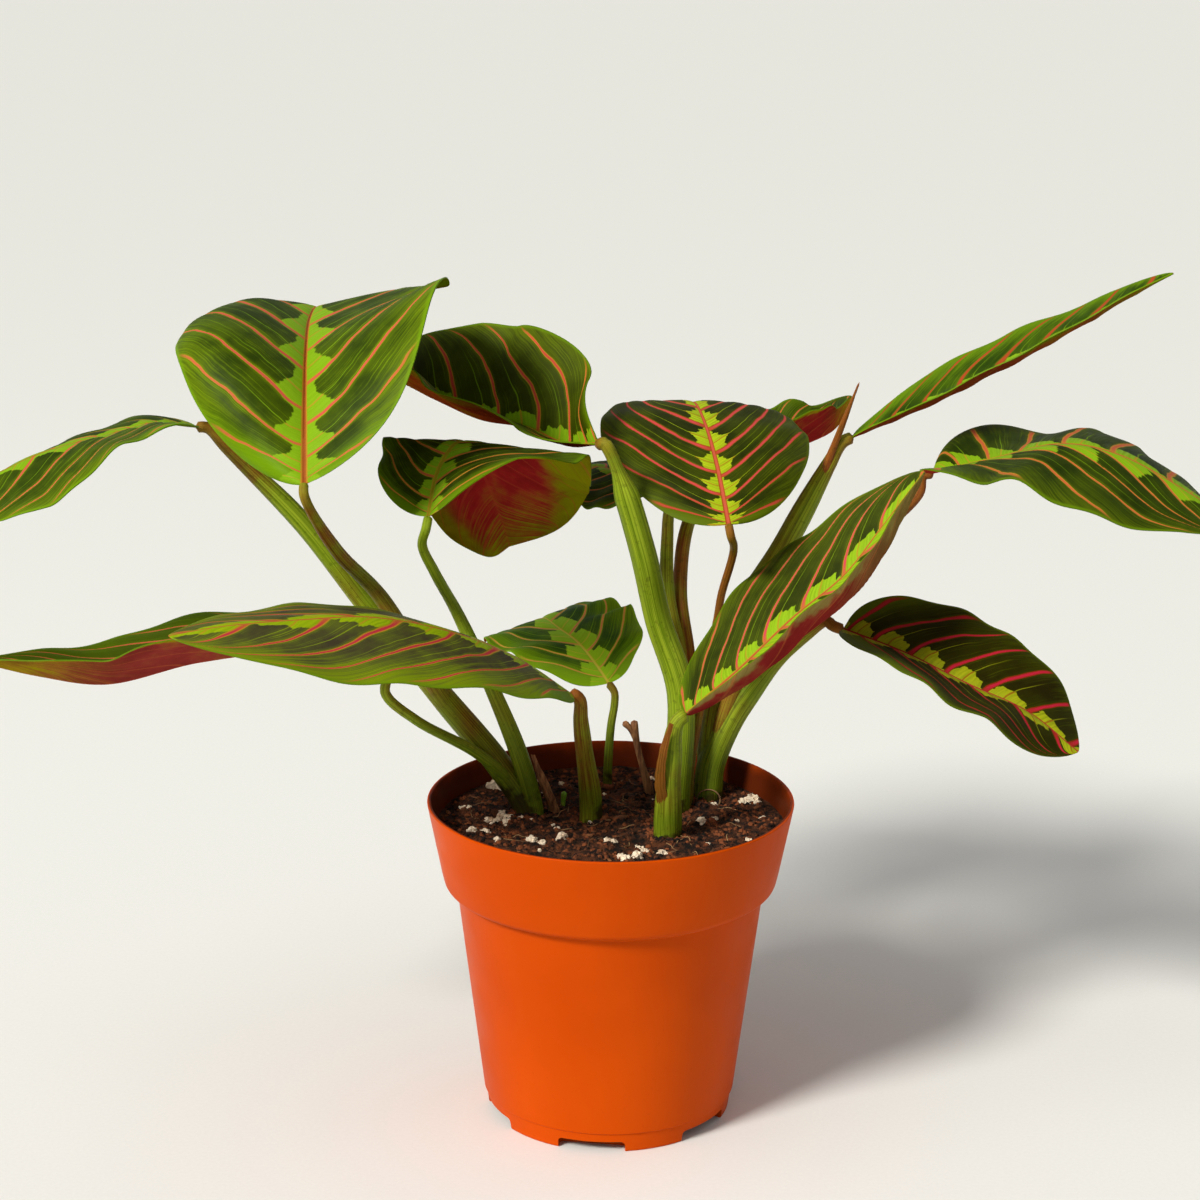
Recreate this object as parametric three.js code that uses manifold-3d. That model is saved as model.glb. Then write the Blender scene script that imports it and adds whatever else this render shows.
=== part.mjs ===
// A potted prayer plant (Maranta leuconeura, red-veined form) in a plastic nursery pot.
// Millimetres, +Z up. The origin is the middle of the pot's flat underside, and the plant is seen
// from -Y: +X is to its right and +Y runs away from the viewer.
import * as THREE from "three";
import { mergeVertices } from "three/addons/utils/BufferGeometryUtils.js";
import Module from "manifold-3d";

const wasm = await Module();
wasm.setup();

// ---- Driving dimensions ----------------------------------------------------------------------

// Pot: an injection-moulded 11 cm nursery pot.
const POT_HEIGHT = 98;
const RIM_RADIUS = 55;
const BASE_RADIUS = 37.5;
const WAIST_RADIUS = 46.3; // where the plain taper meets the collar
const WAIST_HEIGHT = 71;
const SHOULDER_RADIUS = 50.8; // the collar's lower turn, from which it flares to the rim
const SHOULDER_HEIGHT = 77;
const WALL = 1.2;
const FLOOR = 1.8;
const FOOT_HEIGHT = 6;
const FOOT_INSET = 0.5;
const POT_SIDES = 48;

// Drain notches, cut through the corner between the wall and the floor.
const NOTCH_COUNT = 6;
const NOTCH_WIDTH = 20;
const NOTCH_HEIGHT = 3.4;
const NOTCH_DEPTH = 6;
const NOTCH_TURN = -98; // degrees, the notch nearest the viewer

// Soil.
const SOIL_LEVEL = 90;
const SOIL_SIDES = 36;
const SOIL_RINGS = 6;
const SOIL_ROUGHNESS = 0.5;
const FIT_GAP = 0.4; // kept between the soil and what stands in or around it
const CRUMB_COUNT = 10;

// Leaf blades.
const BLADE_THICKNESS = 0.7;
const BLADE_ROWS = 12;
const BLADE_COLUMNS = 4; // to each side of the midrib
const BLADE_END_WIDTH = 0.8; // half width kept at the base and the tip
const RIPPLES = 4.5; // waves along each edge
const STALK_GAP = 0.65; // between a blade's base and its stalk
const STALK_END = 3; // length of a stalk's end that runs in line with the midrib

// Stems, and the dry remains of old leaves.
const ROOTED_TO = 76; // height of the stems' lower ends, in the soil
const STEM_SIDES = 8;
const STEM_STEP = 11; // length of one tube segment
const DRY_THICKNESS = 0.8;
const DRY_ROWS = 6;

// ---- Finishes --------------------------------------------------------------------------------

const finish = (color, roughness) =>
  new THREE.MeshStandardMaterial({ color, roughness, metalness: 0 });
const terracottaPlastic = finish(0xd9591a, 0.45);
const pottingSoil = finish(0x2b1a12, 0.95);
const greenLeaf = finish(0x3f6b1c, 0.5);
const greenStem = finish(0x6d8f2a, 0.5);
const dryLeafBase = finish(0x8c5a33, 0.85);

// ---- Leaves ----------------------------------------------------------------------------------

// rib: points of the midrib from base to tip. across: the direction of the leaf's right edge, seen
// from above with the tip away, at the base and at the tip. half: width of the left and right halves.
// ends: how pointed the outline is at the base and at the tip, 0.3 being blunt and round. left and
// right: the angle in degrees by which each half rises from flat, at stations from base to tip. curl:
// how much more each half has turned by its edge. ripple: height of the edge's waves. stem: the node
// that its stalk belongs to. stalk: points of the petiole from the soil's surface to just below the
// blade. radii: the petiole's radius, at stations along it.
const leaves = {
  leaf_top_left: {
    rib: [
      [-86, -30, 200], [-88, -8, 220], [-90, 14, 230], [-92, 42, 235], [-92, 66, 235], [-91, 84, 226],
    ],
    across: [[1, 0, 0], [1, 0.1, 0.05]],
    half: [42, 46],
    ends: [0.75, 0.7],
    left: [10, 35, 25, -10],
    right: [14, 31, 12, 5],
    curl: [-90, 0],
    ripple: 0.4,
    stem: "stems_left",
    stalk: [[-26, 9, 90], [-34, 12, 104], [-50, 14, 123], [-68, 4, 158], [-79, -14, 177]],
    radii: [3, 3, 2.6, 2, 1.3],
  },
  leaf_far_left: {
    rib: [
      [-122, 10, 208], [-134, 5, 210], [-144, 1, 208],
      [-163, -7, 204], [-175, -12, 199], [-192, -19, 190],
    ],
    across: [[-0.4, 0.9, 0], [-0.4, 0.9, 0]],
    half: [28, 28],
    ends: [0.5, 0.7],
    left: [10, 5, -20, -45],
    right: [5, -5, -20, -30],
    curl: [0, -20],
    ripple: 0.6,
    stem: "stems_left",
    stalk: [[-25, 9, 90], [-34, 12, 104], [-50, 15, 123], [-72, 15, 151], [-93, 13, 180], [-114, 12, 202]],
    radii: [4.2, 4, 3.2, 3, 1.6],
  },
  leaf_curled_left: {
    rib: [
      [-53, -9, 186], [-51, 0, 197], [-47, 10, 203], [-43, 24, 201], [-40, 35, 191], [-36, 42, 178],
      [-32, 45, 164],
    ],
    across: [[0.8, -0.6, 0], [1, 0.1, 0]],
    half: [24, 39],
    ends: [0.5, 0.3],
    left: [15, -5, -10, -50],
    right: [25, -3, -15, -5],
    curl: [0, 0],
    ripple: 2,
    stem: "stems_left",
    stalk: [[-23, 7, 90], [-28, 9, 109], [-41, 12, 140], [-46, 10, 152], [-52, -2, 168], [-55, -7, 177]],
    radii: [3, 2.8, 2.2, 1.6, 1.3],
  },
  leaf_behind_left: {
    rib: [
      [-70, 0, 137], [-94, -6, 144], [-120, -12, 143],
      [-146, -18, 138], [-164, -24, 142], [-180, -28, 147],
    ],
    across: [[-0.25, 0.97, 0], [-0.25, 0.97, 0]],
    half: [22, 22],
    ends: [0.5, 0.7],
    left: [38, 38, 38, 38],
    right: [22, 22, 22, 22],
    curl: [0, 0],
    ripple: 0.6,
    stem: "stems_left",
    stalk: [[-27, 9, 91], [-30, 9, 99], [-40, 7, 109], [-58, 2, 121], [-67, 0, 130]],
    radii: [2, 1.8, 1.5, 1.5],
  },
  leaf_front_left: {
    rib: [
      [-12, -5, 132], [-26, -12, 144], [-45, -25, 156], [-67, -38, 164],
      [-84, -48, 166], [-106, -60, 167], [-119, -66, 166],
    ],
    across: [[-0.5, 0.85, 0], [-0.5, 0.85, 0]],
    half: [30, 30],
    ends: [0.5, 0.7],
    left: [-15, -20, -28, -20],
    right: [-6, -6, -6, -6],
    curl: [0, 0],
    ripple: 0.6,
    stem: "stem_front_left",
    stalk: [[-6, 3, 96], [-8, -0.5, 113], [-9, -2.5, 123]],
    radii: [3.8, 3.4, 2.6, 1.8],
  },
  leaf_small_centre: {
    rib: [[-1, 45, 120], [-6, 50, 126], [-11, 57, 130], [-17, 66, 132], [-22, 78, 132], [-25, 92, 126]],
    across: [[0.75, 0.65, 0], [0.75, 0.65, 0]],
    half: [25, 25],
    ends: [0.5, 0.7],
    left: [0, -5, -10, -10],
    right: [0, 12, 10, 0],
    curl: [0, 0],
    ripple: 1.5,
    stem: "stem_small_centre",
    stalk: [[-1, 36, 94], [0, 40, 108], [1, 42, 114]],
    radii: [1.5, 1.2],
  },
  leaf_back_centre: {
    rib: [
      [-4, 8, 204], [-14, 26, 200], [-27, 38, 203], [-41, 50, 203],
      [-53, 60, 206], [-67, 74, 210], [-77, 90, 211],
    ],
    across: [[0.5, 0.85, 0], [0.7, 0.7, 0]],
    half: [32, 32],
    ends: [1.1, 0.7],
    left: [18, 20, 33, 35],
    right: [78, 63, 66, 60],
    curl: [10, -10],
    ripple: 0.3,
    stem: "stems_centre",
    stalk: [[20, 14, 94], [21, 20, 125], [14, 19, 148], [9, 12, 171], [2, 7, 195]],
    radii: [4.2, 4.3, 4.3, 4.3, 4.2, 4.2, 4.1, 4, 4, 3.9, 3.8, 1.9, 1.8],
  },
  leaf_hidden_centre: {
    rib: [[15, 45, 184], [7, 54, 185], [-3, 65, 185], [-13, 76, 183]],
    across: [[0.7, 0.7, 0], [0.7, 0.7, 0]],
    half: [17, 17],
    ends: [0.5, 0.7],
    left: [-30, -35, -35, -30],
    right: [0, 0, 0, 0],
    curl: [0, 0],
    ripple: 0.6,
    stem: "stems_centre",
    stalk: [[22, 16, 94], [23, 21, 112], [21, 28, 133], [17, 36, 153], [17, 42, 172]],
    radii: [2.4, 2.4, 2.2, 1.6],
  },
  leaf_back_right: {
    rib: [[40, 64, 189], [52, 68, 190], [62, 73, 192], [71, 78, 196], [76, 82, 205]],
    across: [[0.4, -0.9, 0], [0.4, -0.9, 0]],
    half: [17, 17],
    ends: [0.5, 0.7],
    left: [25, 35, 45, 40],
    right: [40, 50, 50, 40],
    curl: [0, 0],
    ripple: 0.3,
    stem: "stems_centre",
    stalk: [[23, 18, 94], [23.5, 23, 112], [23.5, 30, 132], [21, 40, 152], [24, 50, 172], [34, 60, 184]],
    radii: [2.4, 2.4, 2.2, 1.6],
  },
  leaf_centre: {
    rib: [[34, 5, 181], [31, 20, 195], [28, 38, 204], [25, 60, 207], [23, 82, 199]],
    across: [[1, 0, 0], [1, 0, 0]],
    half: [32, 32],
    ends: [0.5, 0.7],
    left: [0, 0, 0, 0],
    right: [0, 0, 0, 0],
    curl: [-10, -30],
    ripple: 0.6,
    stem: "stems_centre",
    stalk: [[23, 15, 94], [27, 22, 120], [30, 27, 134], [32, 26, 146], [33, 22, 155], [36, 13, 171]],
    radii: [2, 1.6, 1.2, 1.2],
  },
  leaf_front_right: {
    rib: [[22, -12, 128], [37, -7, 140], [53, -3, 155], [68, 1, 167], [79, 4, 181], [91, 6, 197]],
    across: [[0.35, -0.93, -0.06], [0.35, -0.93, -0.06]],
    half: [28, 28],
    ends: [0.5, 0.7],
    left: [5, 10, 10, 5],
    right: [0, -5, -5, -5, 0],
    curl: [0, 100],
    ripple: 0.6,
    stem: "stem_front_right",
    stalk: [[17, -12, 92], [17, -13, 102], [17.5, -13, 114]],
    radii: [4.4, 4.2, 3.4, 2],
  },
  leaf_drooping_right: {
    rib: [[70, 20, 145], [88, 12, 140], [106, 4, 133], [123, -4, 127], [137, -11, 117]],
    across: [[-0.37, -0.93, 0], [-0.37, -0.93, 0]],
    half: [24, 24],
    ends: [0.4, 0.7],
    left: [45, 35, 30, 20],
    right: [8, 8, 0, -45],
    curl: [0, 0],
    ripple: 0.6,
    stem: "stems_right",
    stalk: [
      [30, 23, 90], [31, 26, 100], [37, 29, 114], [45, 30, 126],
      [53, 28, 136], [59, 26, 142], [65, 23, 147],
    ],
    radii: [4.2, 4.4, 4.2, 2.6, 1.6],
  },
  leaf_spear_right: {
    rib: [[73, 41, 200], [91, 36, 210], [120, 28, 227.5], [148, 20, 245.5], [162, 16, 254]],
    across: [[0.3, -0.95, 0], [0.3, -0.95, 0]],
    half: [13, 14],
    ends: [0.6, 0.7],
    left: [5, 16, 8, -4, 5],
    right: [10, 5, 5, 5, 10],
    curl: [10, 60],
    ripple: 0.3,
    stem: "stems_right",
    stalk: [[31, 25, 90], [31, 29, 106], [34, 35, 124], [41, 40, 145], [52, 42, 164], [66, 43, 191]],
    radii: [3.6, 4.2, 4.2, 3.6, 1.8],
  },
  leaf_far_right: {
    rib: [[96, 27, 192], [111, 18, 198], [130, 4, 206], [145, -6, 205], [167, -16, 194], [178, -20, 187]],
    across: [[-0.6, -0.8, 0], [-0.6, -0.8, 0]],
    half: [30, 30],
    ends: [0.36, 0.7],
    left: [40, 5, -10, -20],
    right: [10, -10, -24, -22],
    curl: [-15, 0],
    ripple: 1,
    stem: "stems_right",
    stalk: [
      [31, 23, 90], [32, 26, 104], [40, 29, 128], [53, 30, 144],
      [66, 29, 157], [81, 28, 174], [92, 27, 186],
    ],
    radii: [2.5, 2.5, 2.4, 1.6],
  },
};

const lerp = THREE.MathUtils.lerp;
const toVector = ([x, y, z]) => new THREE.Vector3(x, y, z);
const curveOf = (points) => new THREE.CatmullRomCurve3(points.map(toVector), false, "centripetal");

// A value read at s, from 0 at the base to 1 at the tip, between stations spread evenly.
function atStation(stations, s) {
  const place = s * (stations.length - 1);
  const i = Math.min(Math.floor(place), stations.length - 2);
  return lerp(stations[i], stations[i + 1], THREE.MathUtils.smoothstep(place - i, 0, 1));
}

// Width of one half of the blade at s.
function halfWidth(leaf, side, s) {
  const outline = Math.sin(Math.PI * s ** 0.9) ** lerp(leaf.ends[0], leaf.ends[1], s);
  return Math.max(leaf.half[side < 0 ? 0 : 1] * outline, BLADE_END_WIDTH);
}

// One half's section at s: points out from the midrib, each as distance across and height.
function halfSection(leaf, side, s) {
  const fold = atStation(side < 0 ? leaf.left : leaf.right, s);
  const curl = leaf.curl[side < 0 ? 0 : 1];
  const step = halfWidth(leaf, side, s) / BLADE_COLUMNS;
  const wave = leaf.ripple * Math.sin(Math.PI * s) * Math.sin(2 * Math.PI * RIPPLES * s + 2 * side);
  const points = [[0, 0]];
  for (let i = 1; i <= BLADE_COLUMNS; i++) {
    const [x, z] = points[i - 1];
    const turn = THREE.MathUtils.degToRad(fold + curl * ((i - 0.5) / BLADE_COLUMNS) ** 2);
    points.push([x + step * Math.cos(turn), z + step * Math.sin(turn)]);
  }
  return points.map(([x, z], i) => [x, z + wave * (i / BLADE_COLUMNS) ** 2]);
}

// The blade's middle surface: rows from base to tip, each from the left edge to the right edge.
function bladeSurface(leaf) {
  const rib = curveOf(leaf.rib);
  const rows = [];
  for (let i = 0; i <= BLADE_ROWS; i++) {
    const s = i / BLADE_ROWS;
    const centre = rib.getPointAt(s);
    const along = rib.getTangentAt(s);
    const across = toVector(leaf.across[0]).lerp(toVector(leaf.across[1]), s);
    across.addScaledVector(along, -across.dot(along)).normalize();
    const up = across.clone().cross(along);
    const place = (side, [x, z]) =>
      centre.clone().addScaledVector(across, side * x).addScaledVector(up, z);
    const left = halfSection(leaf, -1, s).map((point) => place(-1, point));
    const right = halfSection(leaf, 1, s).map((point) => place(1, point));
    rows.push([...left.reverse(), ...right.slice(1)]);
  }
  return rows;
}

// A sheet of even thickness about a grid of points, as one closed solid. Both faces are split into
// triangles alike.
function thickSheet(rows, thickness) {
  const last = rows.length - 1;
  const edge = rows[0].length - 1;
  const upperPoints = [];
  const lowerPoints = [];
  rows.forEach((row, i) =>
    row.forEach((point, j) => {
      const along = rows[Math.min(i + 1, last)][j].clone().sub(rows[Math.max(i - 1, 0)][j]);
      const across = row[Math.min(j + 1, edge)].clone().sub(row[Math.max(j - 1, 0)]);
      const normal = across.cross(along).normalize();
      upperPoints.push(point.clone().addScaledVector(normal, thickness / 2));
      lowerPoints.push(point.clone().addScaledVector(normal, -thickness / 2));
    }),
  );
  const upper = (i, j) => i * (edge + 1) + j;
  const lower = (i, j) => upperPoints.length + upper(i, j);
  const index = [];
  const quad = (a, b, c, d) => index.push(a, b, c, a, c, d);
  for (let i = 0; i < last; i++) {
    for (let j = 0; j < edge; j++) {
      quad(upper(i, j), upper(i, j + 1), upper(i + 1, j + 1), upper(i + 1, j));
      index.push(lower(i, j), lower(i + 1, j + 1), lower(i, j + 1));
      index.push(lower(i, j), lower(i + 1, j), lower(i + 1, j + 1));
    }
    quad(upper(i, 0), upper(i + 1, 0), lower(i + 1, 0), lower(i, 0));
    quad(upper(i + 1, edge), upper(i, edge), lower(i, edge), lower(i + 1, edge));
  }
  for (let j = 0; j < edge; j++) {
    quad(upper(0, j + 1), upper(0, j), lower(0, j), lower(0, j + 1));
    quad(upper(last, j), upper(last, j + 1), lower(last, j + 1), lower(last, j));
  }
  return new THREE.BufferGeometry().setFromPoints([...upperPoints, ...lowerPoints]).setIndex(index);
}

// ---- Stems -----------------------------------------------------------------------------------

// A closed tube along points. Its radius runs through stations spread evenly from start to end.
function taperedTube(points, radii, sides = STEM_SIDES) {
  const curve = curveOf(points);
  const steps = Math.max(2, Math.round(curve.getLength() / STEM_STEP));
  const frames = curve.computeFrenetFrames(steps, false);
  const vertices = [];
  for (let i = 0; i <= steps; i++) {
    const centre = curve.getPointAt(i / steps);
    const radius = atStation(radii, i / steps);
    for (let j = 0; j < sides; j++) {
      const turn = (2 * Math.PI * j) / sides;
      vertices.push(
        centre
          .clone()
          .addScaledVector(frames.normals[i], radius * Math.cos(turn))
          .addScaledVector(frames.binormals[i], radius * Math.sin(turn)),
      );
    }
  }
  vertices.push(curve.getPointAt(0), curve.getPointAt(1));
  const start = vertices.length - 2;
  const end = vertices.length - 1;
  const index = [];
  for (let j = 0; j < sides; j++) {
    const k = (j + 1) % sides;
    for (let i = 0; i < steps; i++) {
      const a = i * sides + j;
      const b = i * sides + k;
      index.push(a, b, b + sides, a, b + sides, a + sides);
    }
    index.push(start, k, j, end, steps * sides + j, steps * sides + k);
  }
  return new THREE.BufferGeometry().setFromPoints(vertices).setIndex(index);
}

// The petiole of a leaf. It is rooted straight down, and ends just short of the blade in line with
// the midrib.
function stalkPoints(leaf) {
  const base = toVector(leaf.rib[0]);
  const ahead = curveOf(leaf.rib).getTangentAt(0);
  const bend = base.clone().addScaledVector(ahead, -STALK_GAP - STALK_END);
  const end = base.clone().addScaledVector(ahead, -STALK_GAP);
  const [x, y] = leaf.stalk[0];
  return [[x, y, ROOTED_TO], ...leaf.stalk, bend.toArray(), end.toArray()];
}

// ---- Dry remains of old leaves ---------------------------------------------------------------

// A bract: a narrow papery scale, standing in the soil beside the left stems.
const bract = {
  points: [[-16, 10, 78], [-17, 9.5, 90], [-20, 8, 99], [-23.5, 6.5, 109]],
  across: [0.8, -0.5, 0.2],
  widths: [3.4, 3.8, 3.4, 1.4],
};

// A papery strip torn from the sheath of the front stem. It grows from that stem.
const sheathStrip = {
  points: [[16, -14.5, 97], [14.6, -16.5, 108], [15, -17.5, 117], [17.5, -18, 127]],
  across: [0.9, -0.4, 0],
  widths: [3.6, 3.4, 2.6, 1.2],
};

// A cut stub with a short fork, and the thin spike of a withered leaf on the upper right stem.
const stub = {
  points: [[14, 27, ROOTED_TO], [12, 27, 90], [8, 27, 106], [7, 26, 114]],
  radii: [1.7, 1.5, 1, 1.2],
};
const stubFork = {
  points: [[7.8, 26.6, 107], [6, 26.2, 111], [3.6, 26, 113.4]],
  radii: [0.8, 0.9, 1.1],
};
const spike = {
  points: [[64, 42.5, 186], [66, 41.5, 193], [70, 38, 206], [74, 36, 218]],
  radii: [1.6, 1, 0.3],
};

// A seedling's first shoot beside the front left stem.
const sprout = {
  points: [[-14.6, 14, 80], [-14.6, 14, 90], [-14.2, 13.8, 95]],
  radii: [0.6, 0.5, 0.9],
};

// A narrow scale along points, a little cupped.
function dryScale({ points, across, widths }) {
  const curve = curveOf(points);
  const rows = [];
  for (let i = 0; i <= DRY_ROWS; i++) {
    const s = i / DRY_ROWS;
    const centre = curve.getPointAt(s);
    const along = curve.getTangentAt(s);
    const side = toVector(across).addScaledVector(along, -toVector(across).dot(along)).normalize();
    const up = side.clone().cross(along);
    const half = atStation(widths, s) / 2;
    rows.push([
      centre.clone().addScaledVector(side, -half),
      centre.clone().addScaledVector(up, 0.3 * half),
      centre.clone().addScaledVector(side, half),
    ]);
  }
  return thickSheet(rows, DRY_THICKNESS);
}

// ---- Solids: joining and cutting -------------------------------------------------------------

function toSolid(geometry) {
  const bare = geometry.clone();
  bare.deleteAttribute("normal");
  bare.deleteAttribute("uv");
  const merged = mergeVertices(bare, 1e-4);
  return new wasm.Manifold(
    new wasm.Mesh({
      numProp: 3,
      vertProperties: merged.attributes.position.array,
      triVerts: new Uint32Array(merged.index.array),
    }),
  );
}

function toGeometry(solid) {
  const mesh = solid.getMesh();
  const geometry = new THREE.BufferGeometry();
  geometry.setAttribute("position", new THREE.BufferAttribute(mesh.vertProperties, 3));
  geometry.setIndex(new THREE.BufferAttribute(mesh.triVerts, 1));
  return geometry;
}

const join = (solids) => solids.reduce((whole, solid) => whole.add(solid));

// ---- Pot -------------------------------------------------------------------------------------

const taperRadius = (height) => lerp(BASE_RADIUS, WAIST_RADIUS, height / WAIST_HEIGHT);

// The pot wall's outside from the foot to the rim, as radius and height.
const potOutside = [
  [BASE_RADIUS - FOOT_INSET - 0.6, 0],
  [BASE_RADIUS - FOOT_INSET, 0.8],
  [taperRadius(FOOT_HEIGHT) - FOOT_INSET, FOOT_HEIGHT],
  [taperRadius(FOOT_HEIGHT), FOOT_HEIGHT + 0.5],
  [WAIST_RADIUS, WAIST_HEIGHT],
  [WAIST_RADIUS + 1, WAIST_HEIGHT + 0.6],
  [lerp(WAIST_RADIUS, SHOULDER_RADIUS, 0.62), WAIST_HEIGHT + 2],
  [lerp(WAIST_RADIUS, SHOULDER_RADIUS, 0.9), WAIST_HEIGHT + 4],
  [SHOULDER_RADIUS, SHOULDER_HEIGHT],
  [RIM_RADIUS, POT_HEIGHT - 0.6],
  [RIM_RADIUS - 0.3, POT_HEIGHT],
];

// The inside, from the rim down to the floor.
const potInside = [
  [RIM_RADIUS - WALL, POT_HEIGHT],
  [SHOULDER_RADIUS - WALL, SHOULDER_HEIGHT],
  [lerp(WAIST_RADIUS, SHOULDER_RADIUS, 0.62) - WALL, WAIST_HEIGHT + 3.2],
  [WAIST_RADIUS - WALL, WAIST_HEIGHT + 1],
  [BASE_RADIUS - FOOT_INSET - WALL, FLOOR],
];

function turned(profile, sides) {
  const points = profile.map(([r, z]) => new THREE.Vector2(r, z));
  return new THREE.LatheGeometry(points, sides).rotateX(Math.PI / 2);
}

function makePot() {
  let pot = toSolid(turned([[0, 0], ...potOutside, ...potInside, [0, FLOOR]], POT_SIDES));
  for (let i = 0; i < NOTCH_COUNT; i++) {
    const turn = THREE.MathUtils.degToRad(NOTCH_TURN + (360 * i) / NOTCH_COUNT);
    const notch = new THREE.BoxGeometry(2 * NOTCH_DEPTH, NOTCH_WIDTH, 2 * NOTCH_HEIGHT)
      .translate(BASE_RADIUS, 0, 0)
      .rotateZ(turn);
    pot = pot.subtract(toSolid(notch));
  }
  return toGeometry(pot);
}

// ---- Soil ------------------------------------------------------------------------------------

// Perlite and bark crumbs that lie in plain sight: x, y and size. More are strewn by a seeded draw.
const seenCrumbs = [
  [-35.5, 31, 3], [-35, 1, 2.6], [-31, 4, 2.4], [-23, -15, 2.4], [-14, -15, 2.2],
  [0, -18, 1.9], [8.5, -21, 1.8], [8, -29, 2.2], [3, -29, 1.9], [27, 1, 2.2],
  [44, 21, 2.8], [-45, 12, 1.8], [-39, -8, 2],
];

// A small seeded random number generator, so that every build is the same.
function seeded(state) {
  return () => {
    state = (state * 16807) % 2147483647;
    return state / 2147483647;
  };
}

// The soil's radius at a height, just inside the pot's wall.
function soilRadius(height) {
  const inside = [...potInside].reverse();
  const i = inside.findIndex(([, z]) => z > height);
  const [r0, z0] = inside[i - 1];
  const [r1, z1] = inside[i];
  return lerp(r0, r1, (height - z0) / (z1 - z0)) - FIT_GAP;
}

// The soil's small rise and fall, which dies away toward the pot's wall.
function bump(x, y) {
  const inward = 1 - (Math.hypot(x, y) / soilRadius(SOIL_LEVEL)) ** 4;
  return SOIL_ROUGHNESS * inward * (Math.sin(x / 4.1 + 2) * Math.cos(y / 3.3) + Math.sin(x / 5 + y / 6));
}

// A crumb, half sunk in the soil.
function crumb(x, y, size, random) {
  return new THREE.IcosahedronGeometry(size)
    .scale(1, 0.8, 0.8)
    .rotateZ(2 * Math.PI * random())
    .translate(x, y, SOIL_LEVEL + bump(x, y));
}

function makeSoil(rooted) {
  const random = seeded(7);
  const edge = soilRadius(SOIL_LEVEL);
  const wallHeights = [FLOOR + FIT_GAP, WAIST_HEIGHT + 1, SHOULDER_HEIGHT];
  const profile = [[0, wallHeights[0]], ...wallHeights.map((height) => [soilRadius(height), height])];
  for (let ring = SOIL_RINGS; ring >= 0; ring--) profile.push([(edge * ring) / SOIL_RINGS, SOIL_LEVEL]);
  const ground = turned(profile, SOIL_SIDES);
  const position = ground.attributes.position;
  for (let i = 0; i < position.count; i++) {
    if (position.getZ(i) < SOIL_LEVEL - 1) continue;
    position.setZ(i, SOIL_LEVEL + bump(position.getX(i), position.getY(i)));
  }
  const pieces = [toSolid(ground), ...seenCrumbs.map((seen) => toSolid(crumb(...seen, random)))];
  for (let i = 0; i < CRUMB_COUNT; i++) {
    const turn = 2 * Math.PI * random();
    const r = (edge - 4) * Math.sqrt(random());
    pieces.push(toSolid(crumb(r * Math.cos(turn), r * Math.sin(turn), 1.4 + 0.8 * random(), random)));
  }
  const drilled = join(pieces).subtract(join(rooted.map(hole)));
  // A sliver of a crumb that a hole cuts off is swept away.
  const [soil] = drilled.decompose().sort((a, b) => b.volume() - a.volume());
  return toGeometry(soil);
}

// The plain hole that a stem stands in, a little wider and deeper than the stem.
function hole({ points, radii }) {
  const start = toVector(points[0]);
  const upward = curveOf(points).getTangentAt(0);
  const foot = [-FIT_GAP, 2].map((step) => start.clone().addScaledVector(upward, step).toArray());
  const footRadius = 1.15 * (radii[0] + FIT_GAP);
  const wider = radii.map((radius) => radius + FIT_GAP);
  return toSolid(taperedTube(points, wider)).add(toSolid(taperedTube(foot, [footRadius, footRadius])));
}

// ---- Assembly --------------------------------------------------------------------------------

const plant = new THREE.Group();

function addNode(name, geometry, material) {
  const mesh = new THREE.Mesh(geometry, material);
  mesh.name = name;
  plant.add(mesh);
}

const tubeSolid = ({ points, radii }) => toSolid(taperedTube(points, radii));

// What grows from each stem node, besides the stalks of its leaves.
const stemSolids = {
  stem_front_right: [toSolid(dryScale(sheathStrip))],
  stems_right: [tubeSolid(spike)],
};
const bractHole = { points: bract.points, radii: bract.widths.map((width) => 0.62 * width) };
const rooted = [stub, sprout, bractHole];

addNode("pot", makePot(), terracottaPlastic);
for (const [name, leaf] of Object.entries(leaves)) {
  addNode(name, thickSheet(bladeSurface(leaf), BLADE_THICKNESS), greenLeaf);
  const stalk = { points: stalkPoints(leaf), radii: leaf.radii };
  stemSolids[leaf.stem] = [...(stemSolids[leaf.stem] ?? []), tubeSolid(stalk)];
  rooted.push(stalk);
}
for (const [name, solids] of Object.entries(stemSolids)) {
  addNode(name, toGeometry(join(solids)), greenStem);
}
addNode("sprout", taperedTube(sprout.points, sprout.radii), greenStem);
addNode("dry_bract", dryScale(bract), dryLeafBase);
addNode("dry_stub", toGeometry(tubeSolid(stub).add(tubeSolid(stubFork))), dryLeafBase);
addNode("soil", makeSoil(rooted), pottingSoil);

export default plant;
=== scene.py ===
import math
import random

import bpy
import numpy as np
from mathutils import Matrix, Vector, noise


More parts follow.
